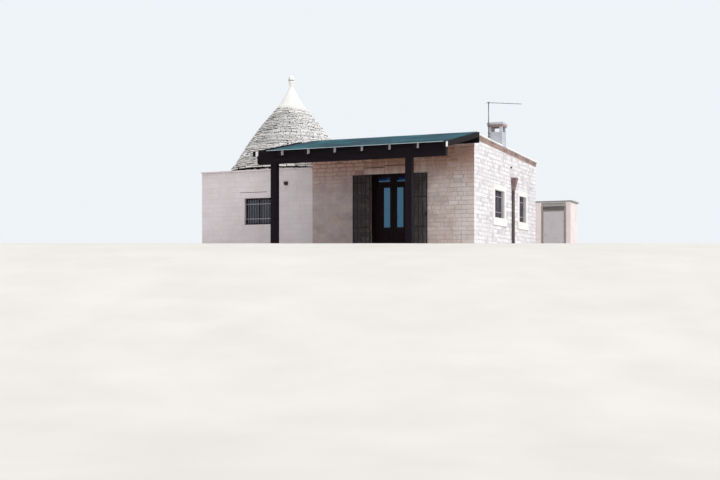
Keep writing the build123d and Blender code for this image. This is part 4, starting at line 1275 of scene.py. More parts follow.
@dataclass
class Wing:
    """The flat-roofed wing: facings, brown band, coping and paved roof."""

    roof: float = 3.25
    wall: float = 0.5
    door: Gap = Gap(2.16, 3.50, -0.1, 2.48)
    lintel: Gap = Gap(1.90, 3.76, 2.48, 2.76)
    lintel_joint: float = 2.65
    lintel_step: float = 0.05
    # The two windows with their jambs and lintels, and the sills below them.
    windows: tuple[Gap, ...] = (
        Gap(2.09, 3.62, 1.10, 2.24), Gap(5.17, 6.50, 1.10, 2.24),
        Gap(2.05, 3.66, 0.84, 1.10), Gap(5.13, 6.54, 0.84, 1.10),
    )
    breaks: tuple[float, ...] = (0.84, 1.10, 2.24, 2.48, 2.76)
    chimney: Pair = (0.33, 0.82)
    front_bond: Bond = Bond(0.135, (0.14, 0.38), joint=0.009, proud=0.009, relief=0.009, tilt=0.012)
    side_bond: Bond = Bond(0.15, (0.2, 0.4), joint=0.011, proud=0.009, relief=0.012, tilt=0.018)
    # The porch's stones up to about 4.1 m along the front take a darker finish, painted shade deep in the
    # porch; those within 0.7 m of the outer corner take a paler one, painted light where the porch's shade
    # ends.
    damp_until: float = 4.1
    damp_mix: float = 0.5
    pale_corner: float = 0.7
    band_layer: float = 0.05
    coping_out: float = 0.09
    coping_thickness: float = 0.06

    def build(self) -> None:
        """Lays the four faces, then the band, the coping and the roof."""
        dress(WARM_MORTAR, "wing_front_wall_left", "wing_front_wall_over_door")
        # The mortar right of the door is paler than the porch's: painted light.
        dress(LIT_CORNER_MORTAR, "wing_front_wall_right")
        dress(PALE_MORTAR, "wing_side_wall", "wing_back_wall", "wing_left_wall")
        dress(PAVING, "wing_floor", "door_threshold")
        dress(SCREED, "wing_roof_slab")
        self.lay_front()
        width, depth = SIDE - JOINT, BACK - FRONT
        trullo = Gap(BACK - 2.65, depth, -0.1, 2.76)
        falling, rising = (lambda s: band_bottom(FRONT + s)), (lambda s: band_bottom(BACK - s))
        crown = flat(band_bottom(BACK))
        faces = {
            "side": Face((SIDE, FRONT), QUARTER, depth, falling, self.breaks, self.windows, True, True),
            "back": Face((SIDE, BACK), math.pi, width, crown, self.breaks, (), True, True),
            "left": Face((JOINT, BACK), -QUARTER, depth, rising, self.breaks, (trullo,), True, False),
        }
        for number, (name, face) in enumerate(faces.items()):
            lay(f"wing_{name}_facing", face.lay(self.side_bond, 52 + number), ROUGH_CUT, PALE_STONE)
        self.lay_band()
        self.lay_coping()
        inside = (grown((JOINT, SIDE), -self.wall), grown((FRONT, BACK), -self.wall))
        lay("wing_roof_paving", paved(*inside, self.roof + 0.012, (0.42, 0.62), 61), SLAB_CUT, PAVING)

    def lay_front(self) -> None:
        """The porch's wall: darker at the left, as painted shade deep in the porch, plain over the door, and
        paler at the outer corner, as painted light where the porch's shade ends.
        """
        gaps = (self.door, self.lintel)
        crown = flat(wall_top(FRONT))
        front = Face((JOINT, FRONT), 0.0, SIDE - JOINT, crown, self.breaks, gaps, False, True)
        stones = front.lay(self.front_bond, 51)
        # Near-black strips in the joints along the lintels' tops: the joints, with the shade inside them
        # painted in.
        crack = Piece("door_lintel_crack", GAP_SHADE_FILL)
        first, joint, last = self.lintel.start, self.lintel_joint, self.lintel.end
        for start, end, dip in ((first, joint, self.lintel_step), (joint, last, 0.0)):
            top = self.lintel.high - dip
            lintel = Gap(start, end, self.lintel.low, top - 0.014)
            stones.append(front.block_stone(self.front_bond, lintel, 0.55, 0.002))
            left = start + 0.1 if dip else start
            crack.box((JOINT + left, JOINT + end), around(FRONT, 0.004), (top - 0.016, top - 0.002))
        crack.finished()
        pale_from = SIDE - self.pale_corner
        # Where the painted shade ends, moved a little by each stone's tone.
        shade_end = lambda stone: self.damp_until - self.damp_mix * (stone.tone - 0.5)
        quoins = [stone for stone in stones if stone.middle[0] + stone.size[0] / 2 > SIDE]
        corner = [stone for stone in stones if stone.middle[0] > pale_from and stone not in quoins]
        shaded = [stone for stone in stones if stone.middle[0] < shade_end(stone)]
        dry = [stone for stone in stones if stone not in shaded + corner + quoins]
        lay("wing_front_facing_left", shaded, PORCH_CUT, PORCH_SHADE_STONE)
        lay("wing_front_facing", dry, PORCH_CUT, WARM_STONE)
        # The corner stones and the quoins' front faces take the paler finish: painted light.
        lay("wing_front_facing_corner", corner, PORCH_CUT, LIT_CORNER_STONE)
        laid = lay("wing_front_quoins", quoins, SMOOTH_CUT, LIT_CORNER_STONE).data
        # The quoins' faces towards the side wall take the side stones' pale colour, painted sunlight, while
        # their front faces keep the front's colour.
        whitened = len(laid.materials)
        laid.materials.append(PALE_STONE.material())
        for face in laid.polygons:
            if face.normal.x > 0.6:
                face.material_index = whitened
        pointing = Piece("wing_corner_pointing", PALE_MORTAR)
        inner = FRONT + self.wall
        pointing.box((SIDE - 0.01, SIDE + 0.002), (FRONT + 0.004, inner), (0.0, band_bottom(inner)))
        pointing.finished()

    def lay_band(self) -> None:
        """Three thin layers of brown slabs, each a little further out than the one below."""
        # The band's brown is partly the slabs' own and partly painted shadow from the coping above.
        slabs, depth, long, thick = [], 0.13, BACK - FRONT, self.band_layer
        for number in range(3):
            out = 0.028 + 0.006 * number
            low = band_bottom(FRONT) + thick * number
            far = low - FALL * long
            rows = (
                Row((SIDE + out, FRONT), QUARTER, long, depth, low, thick, FALL),
                Row((JOINT - out, BACK), -QUARTER, long, depth, far, thick, -FALL),
                Row((SIDE + out, BACK + out), math.pi, SIDE - JOINT + 2 * out, depth, far, thick),
            )
            slabs += laid_rows(rows, (0.3, 0.62), 0.006, 0.008, 71 + 3 * number)
        lay("brown_band_slabs", slabs, BAND_CUT, SHADOWED_BROWN_SLAB, "cornice_band")

    def lay_coping(self) -> None:
        """Flat pale stones on the parapets, with a break for the chimney."""
        out, deep, thick = self.coping_out, self.wall, self.coping_thickness
        slope, across = math.atan(FALL), SIDE - JOINT + 2 * out
        near, far = FRONT + deep, BACK - deep
        lower, upper = self.chimney
        last = wall_top(BACK + out / 2 - deep / 2)
        rows = (
            Row((JOINT - out, FRONT), 0.0, across, deep, wall_top(FRONT + deep / 2), thick, 0.0, -slope),
            Row((SIDE + out, BACK + out), math.pi, across, deep + out, last, thick, 0.0, slope),
            Row((JOINT - out, far), -QUARTER, far - near, deep + out, wall_top(far), thick, -FALL),
            Row((SIDE + out, near), QUARTER, lower - near, deep + out, wall_top(near), thick, FALL),
            Row((SIDE + out, upper), QUARTER, far - upper, deep + out, wall_top(upper), thick, FALL),
        )
        slabs = laid_rows(rows, (0.45, 0.8), 0.009, 0.01, 91)
        lay("coping_slabs", slabs, SLAB_CUT, DRESSED_STONE, "roof_coping")


@dataclass
class FrenchDoor:
    """Frame, transom and two glazed leaves that open inwards."""

    opening: Pair = (4.32, 5.66)
    frame_y: Pair = (-2.34, -2.28)
    jamb: float = 0.12
    floor: float = 0.1
    head: float = 2.48
    bar: Pair = (2.155, 2.235)
    pane_head: float = 2.41
    mullion: Pair = (4.88, 5.10)
    leaf_x: Pair = (4.445, 4.984)
    leaf_y: Pair = (-2.335, -2.285)
    leaf_z: Pair = (0.115, 2.15)
    glass_x: Pair = (4.63, 4.877)
    glass_z: Pair = (0.715, 2.06)
    hinge: Pair = (4.4425, -2.268)
    hinge_heights: Pair = (0.4, 1.8)
    lever: float = 1.1

    def build(self) -> None:
        """Builds the frame and both leaves, and dresses the panes."""
        self.build_frame()
        self.build_leaf("left")
        self.build_leaf("right")
        dress(DOOR_GLASS, "door_glass_left", "door_glass_right", "transom_glass")

    def build_frame(self) -> None:
        """Jambs, head, transom bar, mullion, beads, hinge halves and the lining of the reveal."""
        piece = Piece("door_frame_joinery", JOINERY, IRON)
        y, inner, light = self.frame_y, grown(self.opening, -self.jamb), (self.bar[1], self.pane_head)
        for jamb in ends(self.opening, self.jamb):
            piece.box(jamb, y, (self.floor, self.head), 0.005)
        piece.box(inner, y, (self.pane_head, self.head), 0.004)
        piece.box(inner, y, self.bar, 0.006)
        piece.box(self.mullion, y, light, 0.005)
        for x in ((inner[0], self.mullion[0]), (self.mullion[1], inner[1])):
            self.bead(piece, x, light, grown(y, -0.012))
        self.hang(piece, False, True)
        self.hang(piece, True, True)
        reveal, lining = (FRONT + 0.025, y[0]), self.head - 0.01
        for side in ends(self.opening, 0.01):
            piece.box(side, reveal, (self.floor, lining), 0.001)
        piece.box(self.opening, reveal, (lining, self.head), 0.001)
        piece.finished("door_frame")

    def hang(self, piece: Piece, right: bool, fixed: bool) -> None:
        """One leaf's hinges: their fixed halves on the frame, or the other halves on the leaf."""
        x, y = self.hinge
        axis = (over((x, x), right)[0], y)
        lug_x = over((x - 0.02, x) if fixed else (x, x + 0.02), right)
        lug_y = (self.frame_y[1] if fixed else self.leaf_y[1], y)
        for low in self.hinge_heights:
            piece.hinge(axis, low, lug_x, lug_y, fixed, 1)

    def bead(self, piece: Piece, x: Pair, z: Pair, y: Pair) -> None:
        """A thin bead round the inside of a light, against the pane's edges."""
        wide = 0.012
        for side in ends(x, wide):
            piece.box(side, y, z, 0.003)
        for side in ends(z, wide):
            piece.box(grown(x, -wide), y, side, 0.003)

    def build_leaf(self, side: str) -> None:
        """One leaf: stiles and rails round the glass and round a lower panel, with its furniture."""
        right, node = side == "right", f"door_leaf_{side}"
        piece = Piece(f"{node}_joinery", JOINERY, IRON)
        x, y, z = self.leaf_x, self.leaf_y, self.leaf_z
        light, glass = self.glass_z, over(self.glass_x, right)
        panel = (z[0] + 0.15, light[0] - 0.13)
        for part in ((x[0], self.glass_x[0]), (self.glass_x[1], x[1])):
            piece.box(over(part, right), y, z, 0.004)
        for part in ((z[0], panel[0]), (panel[1], light[0]), (light[1], z[1])):
            piece.box(glass, grown(y, -0.0005), part, 0.004)
        piece.box(glass, grown(y, -0.014), panel)
        piece.box(over(grown(self.glass_x, -0.03), right), grown(y, -0.006), grown(panel, -0.03), 0.007)
        self.bead(piece, glass, light, grown(y, -0.01))
        drip = over((x[0] + 0.03, x[1] - 0.01), right)
        piece.box(drip, (y[0] - 0.018, y[0] + 0.004), (z[0] + 0.02, z[0] + 0.055), 0.006)
        self.hang(piece, right, False)
        if right:
            self.add_handle(piece, 2 * DOOR_MIDDLE - 0.5 * (self.glass_x[1] + x[1]))
        piece.finished(node, body=f"{side}_door")

    def add_handle(self, piece: Piece, x: float) -> None:
        """A lever on a long plate, on both faces of the leaf that opens first."""
        z, lock = self.lever, 1.0
        for face, out in ((self.leaf_y[0], -1), (self.leaf_y[1], 1)):
            near, far = sorted((face - 0.001 * out, face + 0.006 * out))
            grip = face + 0.038 * out
            piece.box(around(x, 0.018), (near, far), (0.95, 1.17), 0.003, 1)
            piece.bar((x, face, z), (x, face + 0.042 * out, z), 0.008, 14, 1)
            piece.bar((x - 0.006, grip, z), (x + 0.1, grip, z), 0.0075, 14, 1, 0.006)
            piece.bar((x, face, lock), (x, face + 0.008 * out, lock), 0.007, 12, 1)


@dataclass
class Gates:
    """Two barred steel gates, folded back flat on the wall, and their pintles."""

    pin: Pair = (4.325, -2.69)
    leaf_x: Pair = (3.67, 4.29)
    z: Pair = (0.06, 2.46)
    stile: float = 0.032
    thickness: float = 0.03
    bars: int = 3
    rails: tuple[Pair, ...] = ((0.715, 0.735), (2.19, 2.21), (1.6675, 1.7125))
    collars: Point = (0.435, 1.25, 1.92)
    hinge_heights: Pair = (0.32, 1.95)
    lever: float = 1.13
    mesh_pitch: float = 0.0095
    wire: float = 0.003

    def build(self) -> None:
        """Builds both gates and the pintles."""
        self.build_leaf("left")
        self.build_leaf("right")
        self.build_pintles()

    def build_leaf(self, side: str) -> None:
        """One gate: stiles, rails, bars with collars, hinge eyes and, on the right, the lock."""
        right, node = side == "right", f"grille_leaf_{side}"
        piece = Piece(f"{node}_ironwork", IRON)
        y = self.pin[1]
        for x in ends(self.leaf_x, self.stile):
            piece.box(over(x, right), around(y, self.thickness / 2), self.z, 0.003)
        inside = over(grown(self.leaf_x, 0.002 - self.stile), right)
        for rail in (*ends(self.z, 0.02), *self.rails):
            piece.box(inside, around(y, 0.01), rail, 0.002)
        pitch = (self.leaf_x[1] - self.leaf_x[0] - self.stile) / (self.bars + 1)
        for number in range(1, self.bars + 1):
            x = self.leaf_x[0] + self.stile / 2 + pitch * number
            piece.box(over(around(x, 0.007), right), around(y, 0.007), grown(self.z, -0.01), 0.002)
            for z in self.collars:
                piece.box(over(around(x, 0.012), right), around(y, 0.012), around(z, 0.012), 0.003)
        pin = (over((self.pin[0], self.pin[0]), right)[0], y)
        strap = over((self.leaf_x[1] - 0.004, self.pin[0]), right)
        for z in self.hinge_heights:
            low = z + 0.0403
            piece.post(pin, (low, low + 0.045), 0.015, 20)
            piece.box(strap, around(y, 0.007), (low + 0.002, low + 0.043), 0.002)
        if right:
            self.add_lock(piece)
        piece.finished(node, body=f"{side}_grille")
        self.lay_mesh(node, right, f"{side}_grille")

    def add_lock(self, piece: Piece) -> None:
        """A flat case with a lever and a key's plate, at the gate's free edge."""
        edge, y, z = 2 * DOOR_MIDDLE - self.leaf_x[0], self.pin[1], self.lever
        x, grip = edge - 0.0375, y - 0.045
        piece.box((edge - 0.075, edge), around(y, 0.021), (1.045, 1.175), 0.004)
        piece.bar((x, y, z), (x, grip, z), 0.007, 14)
        piece.bar((x + 0.006, grip, z), (x - 0.09, grip, z), 0.0065, 14)
        piece.bar((x, y - 0.02, z - 0.055), (x, y - 0.025, z - 0.055), 0.009, 14)

    def lay_mesh(self, node: str, right: bool, body: str) -> None:
        """Fine wires in both directions, fixed behind the bars."""
        low, high = over(grown(self.leaf_x, -0.02), right)
        middle, height = sum(self.z) / 2, self.z[1] - self.z[0] - 0.024
        across, up = round((high - low) / self.mesh_pitch), round(height / self.mesh_pitch)
        y, wire, flat = self.pin[1] + 0.0085, self.wire, (0.0, 0.0, 0.0)
        wires = []
        for number in range(1, across):
            x = low + (high - low) * number / across
            wires.append(Stone((x, y, middle), (wire, wire, height), flat))
        for number in range(1, up):
            z = middle - height / 2 + height * number / up
            wires.append(Stone(((low + high) / 2, y + wire, z), (high - low, wire, wire), flat))
        lay(f"{node}_mesh", wires, WIRE_CUT, IRON, body=body)

    def build_pintles(self) -> None:
        """Pins on arms that are let into the wall, beside steel strips along the doorway."""
        piece = Piece("gate_pintles_ironwork", IRON)
        y = self.pin[1]
        for right in (False, True):
            pin = (over((self.pin[0], self.pin[0]), right)[0], y)
            for z in self.hinge_heights:
                piece.post(pin, (z, z + 0.04), 0.015, 20)
                piece.post(pin, (z + 0.038, z + 0.1), 0.008)
                piece.box(over((4.304, 4.32), right), (y, FRONT + 0.01), (z, z + 0.04), 0.002)
            strip = over((self.pin[0] - 0.033, self.pin[0] - 0.005), right)
            piece.box(strip, (FRONT - 0.012, FRONT + 0.004), (0.0, self.z[1] + 0.02), 0.002)
        piece.finished("grille_pintles")


@dataclass
class Windows:
    """Barred timber windows: one in the trullo's front, two in the wing's side wall."""

    front_light: Pair = (-0.48, 0.60)
    front_z: Pair = (0.91, 1.83)
    side_lights: tuple[Pair, Pair] = ((-0.37, 0.78), (2.71, 3.66))
    side_z: Pair = (1.10, 2.05)
    setback: float = 0.095
    pitch: float = 0.1
    rails: Pair = (0.22, 0.78)

    def build(self) -> None:
        """Dresses the sashes and sets the bars and the stone surrounds."""
        dress(JOINERY, "window_sashes")
        dress(DARK_GLASS, "window_glass")
        front = lambda along, height: (along, FRONT + self.setback, height)
        side = lambda along, height: (SIDE - self.setback, along, height)
        self.lay_bars("trullo_window", (self.front_light,), self.front_z, front, 0.0)
        self.lay_bars("side_window", self.side_lights, self.side_z, side, QUARTER)
        self.dress_surrounds()

    def lay_bars(
        self, name: str, lights: Sequence[Pair], z: Pair, place: Callable[..., Point], heading: float
    ) -> None:
        """Upright bars and two flat rails across each opening of a wall.

        Args:
            name: First part of the two pieces' names.
            lights: The openings' ranges along the wall.
            z: Their heights.
            place: Turns a distance along the wall and a height into a point.
            heading: The wall's heading.
        """
        bars, rails, turn = [], [], (0.0, 0.0, heading)
        for start, end in lights:
            count = round((end - start) / self.pitch)
            for number in range(1, count):
                spot = place(start + (end - start) * number / count, sum(z) / 2)
                bars.append(Stone(spot, (0.014, 0.014, z[1] - z[0]), turn))
            for share in self.rails:
                spot = place((start + end) / 2, z[0] + (z[1] - z[0]) * share)
                rails.append(Stone(spot, (end - start, 0.02, 0.026), turn))
        lay(f"{name}_bars", bars, BAR_CUT, BAR_IRON)
        # The rails are paler than the bars: painted sunlight on their flat faces.
        lay(f"{name}_rails", rails, BAR_CUT, LIT_RAIL_IRON)

    def dress_surrounds(self) -> None:
        """Smooth stones round each side window: jambs in two lengths, a lintel and a deep sill."""
        piece = Piece("side_window_stones", DRESSED_STONE)
        low, high = self.side_z
        wide, out = 0.19, (SIDE - 0.06, SIDE + 0.015)
        for light in self.side_lights:
            start, end = grown(light, wide)
            piece.box(out, (start, end), (high - 0.003, high + wide), 0.006)
            for jamb in ((start, light[0] + 0.004), (light[1] - 0.004, end)):
                piece.box(out, jamb, (low, low + 0.44), 0.006)
                piece.box(out, jamb, (low + 0.444, high - 0.004), 0.006)
            piece.box((SIDE - 0.06, SIDE + 0.045), grown(light, 0.23), (low - 0.26, low + 0.003), 0.008)
        piece.finished("side_window_surrounds")


@dataclass
class Chimney:
    """The chimney on the side wall, its open head, its cap and the aerial beside it."""

    x: Pair = (7.45, 7.94)
    y: Pair = (0.33, 0.82)
    shoulder: float = 4.085
    pier: float = 0.095
    pier_height: float = 0.18
    flue: float = 0.23
    flue_depth: float = 0.3
    mast: Pair = (7.485, 0.252)
    mast_z: Pair = (3.88, 5.11)
    boom_angle: float = math.radians(37)
    boom: float = 1.2
    directors: int = 7

    def build(self) -> None:
        """Builds the stack, the cap and the aerial."""
        self.build_stack()
        low = self.shoulder + self.pier_height
        course = Piece("chimney_cap_course", SHADOWED_BROWN_SLAB)
        course.box(grown(self.x, 0.025), grown(self.y, 0.025), (low, low + 0.07), 0.006)
        course.finished("chimney_cap")
        slab = Piece("chimney_cap_slab", CHIMNEY_SHADE_PLASTER)
        slab.box(grown(self.x, 0.045), grown(self.y, 0.045), (low + 0.0705, low + 0.15), 0.014)
        slab.finished()
        self.build_aerial()

    def build_stack(self) -> None:
        """A plastered block, four walls round the flue, and a corner pier on each."""
        piece = Piece("chimney_stack_plaster", CHIMNEY_SHADE_PLASTER)
        foot, top = wall_top(sum(self.y) / 2) + 0.004, self.shoulder
        wall_x, wall_y = ((side[1] - side[0] - self.flue) / 2 for side in (self.x, self.y))
        flue = (top - self.flue_depth, top)
        piece.box(self.x, self.y, (foot, flue[0]))
        for wall in ends(self.y, wall_y):
            piece.box(self.x, wall, flue, 0.006)
        for wall in ends(self.x, wall_x):
            piece.box(wall, grown(self.y, 0.01 - wall_y), flue)
        for x in ends(self.x, self.pier):
            for y in ends(self.y, self.pier):
                piece.box(x, y, (top - 0.01, top + self.pier_height + 0.01), 0.006)
        piece.finished("chimney_stack")

    def build_aerial(self) -> None:
        """Mast, clamps with bolts, boom, reflector and directors."""
        piece = Piece("aerial_metalwork", ALUMINIUM)
        x, y = self.mast
        low, high = self.mast_z
        piece.post(self.mast, (low, high - 0.004), 0.016, 18)
        piece.post(self.mast, (high - 0.006, high), 0.017, 18)
        for z in (low + 0.04, self.shoulder - 0.04):
            piece.box(around(x, 0.022), (y - 0.018, self.y[0] + 0.002), around(z, 0.0125), 0.002)
            for bolt in (x - 0.014, x + 0.014):
                piece.bar((bolt, y - 0.03, z), (bolt, y + 0.03, z), 0.004, 10)
        turn = Matrix.Translation((x, y, high - 0.018)) @ Matrix.Rotation(self.boom_angle, 4, "Z")
        piece.box((-0.06, self.boom), around(0.0, 0.009), around(0.0, 0.009), 0.002, 0, turn)
        piece.box(around(0.0, 0.026), around(0.0, 0.02), (-0.024, 0.012), 0.003, 0, turn)
        pitch = (self.boom - 0.01) / self.directors
        rods = [(-0.045, 0.42)] + [(pitch * number, 0.17) for number in range(1, self.directors + 1)]
        for spot, length in rods:
            piece.bar(*(tuple(turn @ Vector((spot, side * length / 2, 0.0))) for side in (-1, 1)), 0.005, 10)
        piece.finished("aerial")


@dataclass
class Rainwater:
    """The rusty downpipe, its hopper head and the spout above it."""

    x: float = 7.95
    y: float = 1.74
    radius: float = 0.05
    hopper: Pair = (2.15, 2.61)
    sockets: Point = (0.06, 1.06, 2.1)
    clips: Pair = (0.5, 1.6)
    spout: Pair = (2.975, 2.965)

    def build(self) -> None:
        """Builds the pipe, the hopper and the spout."""
        pipe, axis = Piece("downpipe_metalwork", RUST), (self.x, self.y)
        pipe.post(axis, (0.0, self.hopper[0] + 0.01), self.radius, 28)
        for z in self.sockets:
            pipe.post(axis, around(z, 0.035), self.radius + 0.004, 28)
        for z in self.clips:
            pipe.post(axis, around(z, 0.015), self.radius + 0.006, 28)
            pipe.box((SIDE - 0.02, self.x), around(self.y, 0.015), around(z, 0.015), 0.002)
        pipe.finished("downpipe")
        self.build_hopper()
        spout, y = Piece("roof_spout", RUST), self.y - 0.16
        spout.bar((SIDE - 0.05, y, self.spout[0]), (SIDE + 0.05, y, self.spout[1]), 0.035, 24)
        spout.finished()

    def build_hopper(self) -> None:
        """A sheet-metal funnel with a rolled rim, open at the top."""
        low, high = self.hopper
        piece, wall, corners = Piece("hopper_head", RUST_RED), 0.006, 4
        levels = ((low, 0.11, 0.05), (low + 0.03, 0.117, 0.058), (high - 0.05, 0.19, 0.14), (high, 0.2, 0.15))

        def ring(z: float, reach: float, half: float, inset: float) -> list[bmesh.types.BMVert]:
            """The funnel's corners at a height."""
            near, far, wide = SIDE + inset, SIDE + reach - inset, half - inset
            spots = ((near, -wide), (far, -wide), (far, wide), (near, wide))
            return [piece.mesh.verts.new((x, self.y + y, z)) for x, y in spots]

        outside = [ring(*level, 0.0) for level in levels]
        inside = [ring(*level, wall) for level in levels]
        bands = [*zip(outside, outside[1:]), *zip(inside, inside[1:])]
        bands += [(outside[0], inside[0]), (outside[-1], inside[-1])]
        faces = []
        for lower, upper in bands:
            for place in range(corners):
                after = (place + 1) % corners
                faces.append(piece.mesh.faces.new((lower[place], lower[after], upper[after], upper[place])))
        bmesh.ops.recalc_face_normals(piece.mesh, faces=faces)
        rim_x, rim_y, rim_z = (SIDE, SIDE + 0.2), around(self.y, 0.15), (high - 0.014, high)
        for x in ends(rim_x, 0.012):
            piece.box(x, rim_y, rim_z, 0.004)
        for y in ends(rim_y, 0.012):
            piece.box(rim_x, y, rim_z, 0.004)
        piece.finished("rain_hopper")


@dataclass
class LeanTo:
    """Posts, beam, rafters and plate in dark timber under a corrugated sheet."""

    posts: Pair = (2.302, 6.829)
    middle: float = -5.65
    post: float = 0.205
    beam_x: Pair = (1.73, 8.0)
    beam_z: Pair = (2.62, 2.91)
    beam: float = 0.2
    plate: float = -2.75
    plate_depth: float = 0.18
    seat: float = 0.015
    first: float = 1.712
    pitch: float = 0.901
    count: int = 8
    rafter: Pair = (0.1, 0.165)
    tail: float = -5.92
    height: float = 3.06
    slope: float = (3.689 - 3.06) / 3.0
    sheet_x: Pair = (2.16, 8.0)
    sheet_front: float = -5.945
    wave: float = 0.076
    wave_depth: float = 0.018
    columns: int = 460
    rows: int = 12

    def top(self, y: float) -> float:
        """Height of the rafters' tops."""
        return self.height + self.slope * (y - self.middle)

    @property
    def plate_top(self) -> float:
        """Height of the wall plate's top, a little above the rafters' undersides."""
        return self.top(self.plate) - self.rafter[1] + self.seat

    def build(self) -> None:
        """Builds the timbers and the sheet."""
        upright, along = (TIMBER_Z, 2), (TIMBER_X, 0)
        post_y, beam_y = around(self.middle, self.post / 2), around(self.middle, self.beam / 2)
        for name, x in zip(("post_left", "post_right"), self.posts):
            self.timber(name, *upright, around(x, self.post / 2), post_y, (0.0, self.beam_z[0]))
        self.timber("front_beam", *along, self.beam_x, beam_y, self.beam_z)
        span = (self.first - 0.05, self.first + self.pitch * (self.count - 1) + 0.05)
        plate_z = (self.plate_top - self.plate_depth, self.plate_top)
        self.timber("wall_plate", *along, span, (self.plate, FRONT), plate_z)
        self.build_rafters(beam_y)
        self.build_blocks(beam_y[0])
        self.build_sheet()

    def timber(self, node: str, finish: Finish, axis: int, x: Pair, y: Pair, z: Pair) -> None:
        """A sawn timber along an axis: bevelled, with its long faces slightly uneven."""
        short, spacing, uneven = 0.4, 0.35, 0.003
        piece = Piece(f"{node}_timber", finish)
        piece.box(x, y, z, 0.009)
        edges = [edge for edge in piece.mesh.edges if edge.calc_length() > short]
        length = max(edge.calc_length() for edge in edges)
        bmesh.ops.subdivide_edges(piece.mesh, edges=edges, cuts=max(1, round(length / spacing)))
        # The waver is longer along the timber than across it, and moves nothing along it. Each way
        # across reads the noise at its own place, because noise_vector differs from run to run.
        stretch, apart = [6.0, 6.0, 6.0], 17.3
        stretch[axis] = 1.3
        for vert in piece.mesh.verts:
            spot = Vector(a * b for a, b in zip(vert.co, stretch))
            for way in (way for way in range(3) if way != axis):
                vert.co[way] += uneven * noise.noise(spot + Vector((apart * way,) * 3))
        piece.finished(node)

    def bevel_sharp(self, piece: Piece, wide: float) -> None:
        """Bevels every edge of a piece where two faces meet at an angle."""
        sharp = [edge for edge in piece.mesh.edges if edge.is_manifold and edge.calc_face_angle() > 0.5]
        bmesh.ops.bevel(piece.mesh, geom=sharp, offset=wide, segments=1, affect="EDGES")

    def build_rafters(self, beam_y: Pair) -> None:
        """Rafters with bird's-mouth seats, and the tails' right faces painted pale: sunlight on them, with
        their weathering.
        """
        piece = Piece("rafter_timbers", TIMBER_Y, SUNLIT_TAIL_TIMBER)
        wide, deep = self.rafter
        under = lambda y: (y, self.top(y) - deep)
        seats = [(beam_y[0], self.beam_z[1]), (beam_y[1], self.beam_z[1])]
        outline = [under(self.tail), under(beam_y[0]), *seats, under(beam_y[1]), under(self.plate)]
        outline += [(self.plate, self.plate_top), (FRONT, self.plate_top)]
        outline += [(FRONT, self.top(FRONT)), (self.tail, self.top(self.tail))]
        for number in range(self.count):
            piece.prism(outline, self.first + self.pitch * number - wide / 2, wide)
        everything = piece.mesh.verts[:] + piece.mesh.edges[:] + piece.mesh.faces[:]
        bmesh.ops.bisect_plane(piece.mesh, geom=everything, plane_co=(0, beam_y[0], 0), plane_no=(0, 1, 0))
        self.bevel_sharp(piece, 0.005)
        # The tails' faces towards +X take the pale finish: painted sunlight.
        for face in piece.mesh.faces:
            if face.normal.x > 0.9 and face.calc_center_median().y < beam_y[0]:
                face.material_index = 1
        piece.finished("rafters")

    def build_blocks(self, near: float) -> None:
        """Boards between the rafters that close the gap between the beam and the sheet."""
        piece = Piece("rafter_block_boards", TIMBER_X)
        low, far = self.beam_z[1] - 0.004, near + 0.04
        outline = [(near, low), (far, low), (far, self.top(far)), (near, self.top(near))]
        for number in range(self.count - 1):
            start = self.first + self.pitch * number + self.rafter[0] / 2 - 0.003
            end = start + self.pitch - self.rafter[0] + 0.006
            piece.prism(outline, start, end - start)
        self.bevel_sharp(piece, 0.003)
        piece.finished("rafter_blocks")

    def build_sheet(self) -> None:
        """The corrugated sheet that follows the rafters, and a pale strip along its front edge: painted
        sunlight on that edge.
        """
        piece = add_object("corrugated_sheet", bpy.data.meshes.new("corrugated_sheet"))
        settings = {
            "Width": self.sheet_x[1] - self.sheet_x[0], "Length": FRONT - self.sheet_front,
            "Wave": self.wave, "Depth": self.wave_depth, "Slope": self.slope,
            "Columns": self.columns, "Rows": self.rows, "Material": SHEET.material(),
        }
        run_tree(piece, self.sheet_tree(), settings)
        piece.modifiers.new("Thickness", "SOLIDIFY").thickness = 0.0015
        settle(piece)
        middle = (self.sheet_front + FRONT) / 2
        piece.data.transform(Matrix.Translation((sum(self.sheet_x) / 2, middle, self.top(middle) + 0.004)))
        mount(piece, SHEET, "house", "roof_sheet")
        # The pale strip paints the sunlit front edge of the sheet.
        edge, front = Piece("sheet_front_edge", SHEET_LIT_EDGE), self.sheet_front
        low = self.top(front)
        edge.box(self.sheet_x, (front + 0.001, front + 0.007), (low + 0.002, low + 0.02))
        edge.finished()

    def sheet_tree(self) -> bpy.types.NodeTree:
        """A Geometry Nodes tree for a sloping corrugated sheet that sags a little."""
        inputs = {"Geometry": SOLID, "Width": NUMBER, "Length": NUMBER, "Wave": NUMBER, "Depth": NUMBER}
        inputs |= {"Slope": NUMBER, "Columns": WHOLE, "Rows": WHOLE, "Material": MATERIAL}
        graph, given, wanted = new_group("Corrugated sheet", inputs, {"Geometry": SOLID}, "GeometryNodeTree")
        sides = {"Size X": given["Width"], "Size Y": given["Length"]}
        counts = {"Vertices X": given["Columns"], "Vertices Y": given["Rows"]}
        grid = graph.node("GeometryNodeMeshGrid", {**sides, **counts}).outputs["Mesh"]
        spot = graph.node("GeometryNodeInputPosition").outputs[0]
        parts = graph.node("ShaderNodeSeparateXYZ", {"Vector": spot}).outputs
        turn = graph.math("DIVIDE", graph.times(parts["X"], math.tau), given["Wave"])
        swell = graph.times(graph.plus(graph.math("COSINE", turn), 1.0), graph.times(given["Depth"], 0.5))
        sag = graph.swing(graph.noise(spot, 1.1, 2.0), 0.012)
        rise = graph.plus(graph.times(parts["Y"], given["Slope"]), graph.plus(swell, sag))
        lift = graph.node("ShaderNodeCombineXYZ", {"Z": rise}).outputs[0]
        moved = graph.shape("GeometryNodeSetPosition", grid, {"Offset": lift})
        real = graph.shape("GeometryNodeRealizeInstances", graph.shape("GeometryNodeSetShadeSmooth", moved))
        coated = graph.shape("GeometryNodeSetMaterial", real, {"Material": given["Material"]})
        graph.feed(wanted["Geometry"], coated)
        return graph.tree


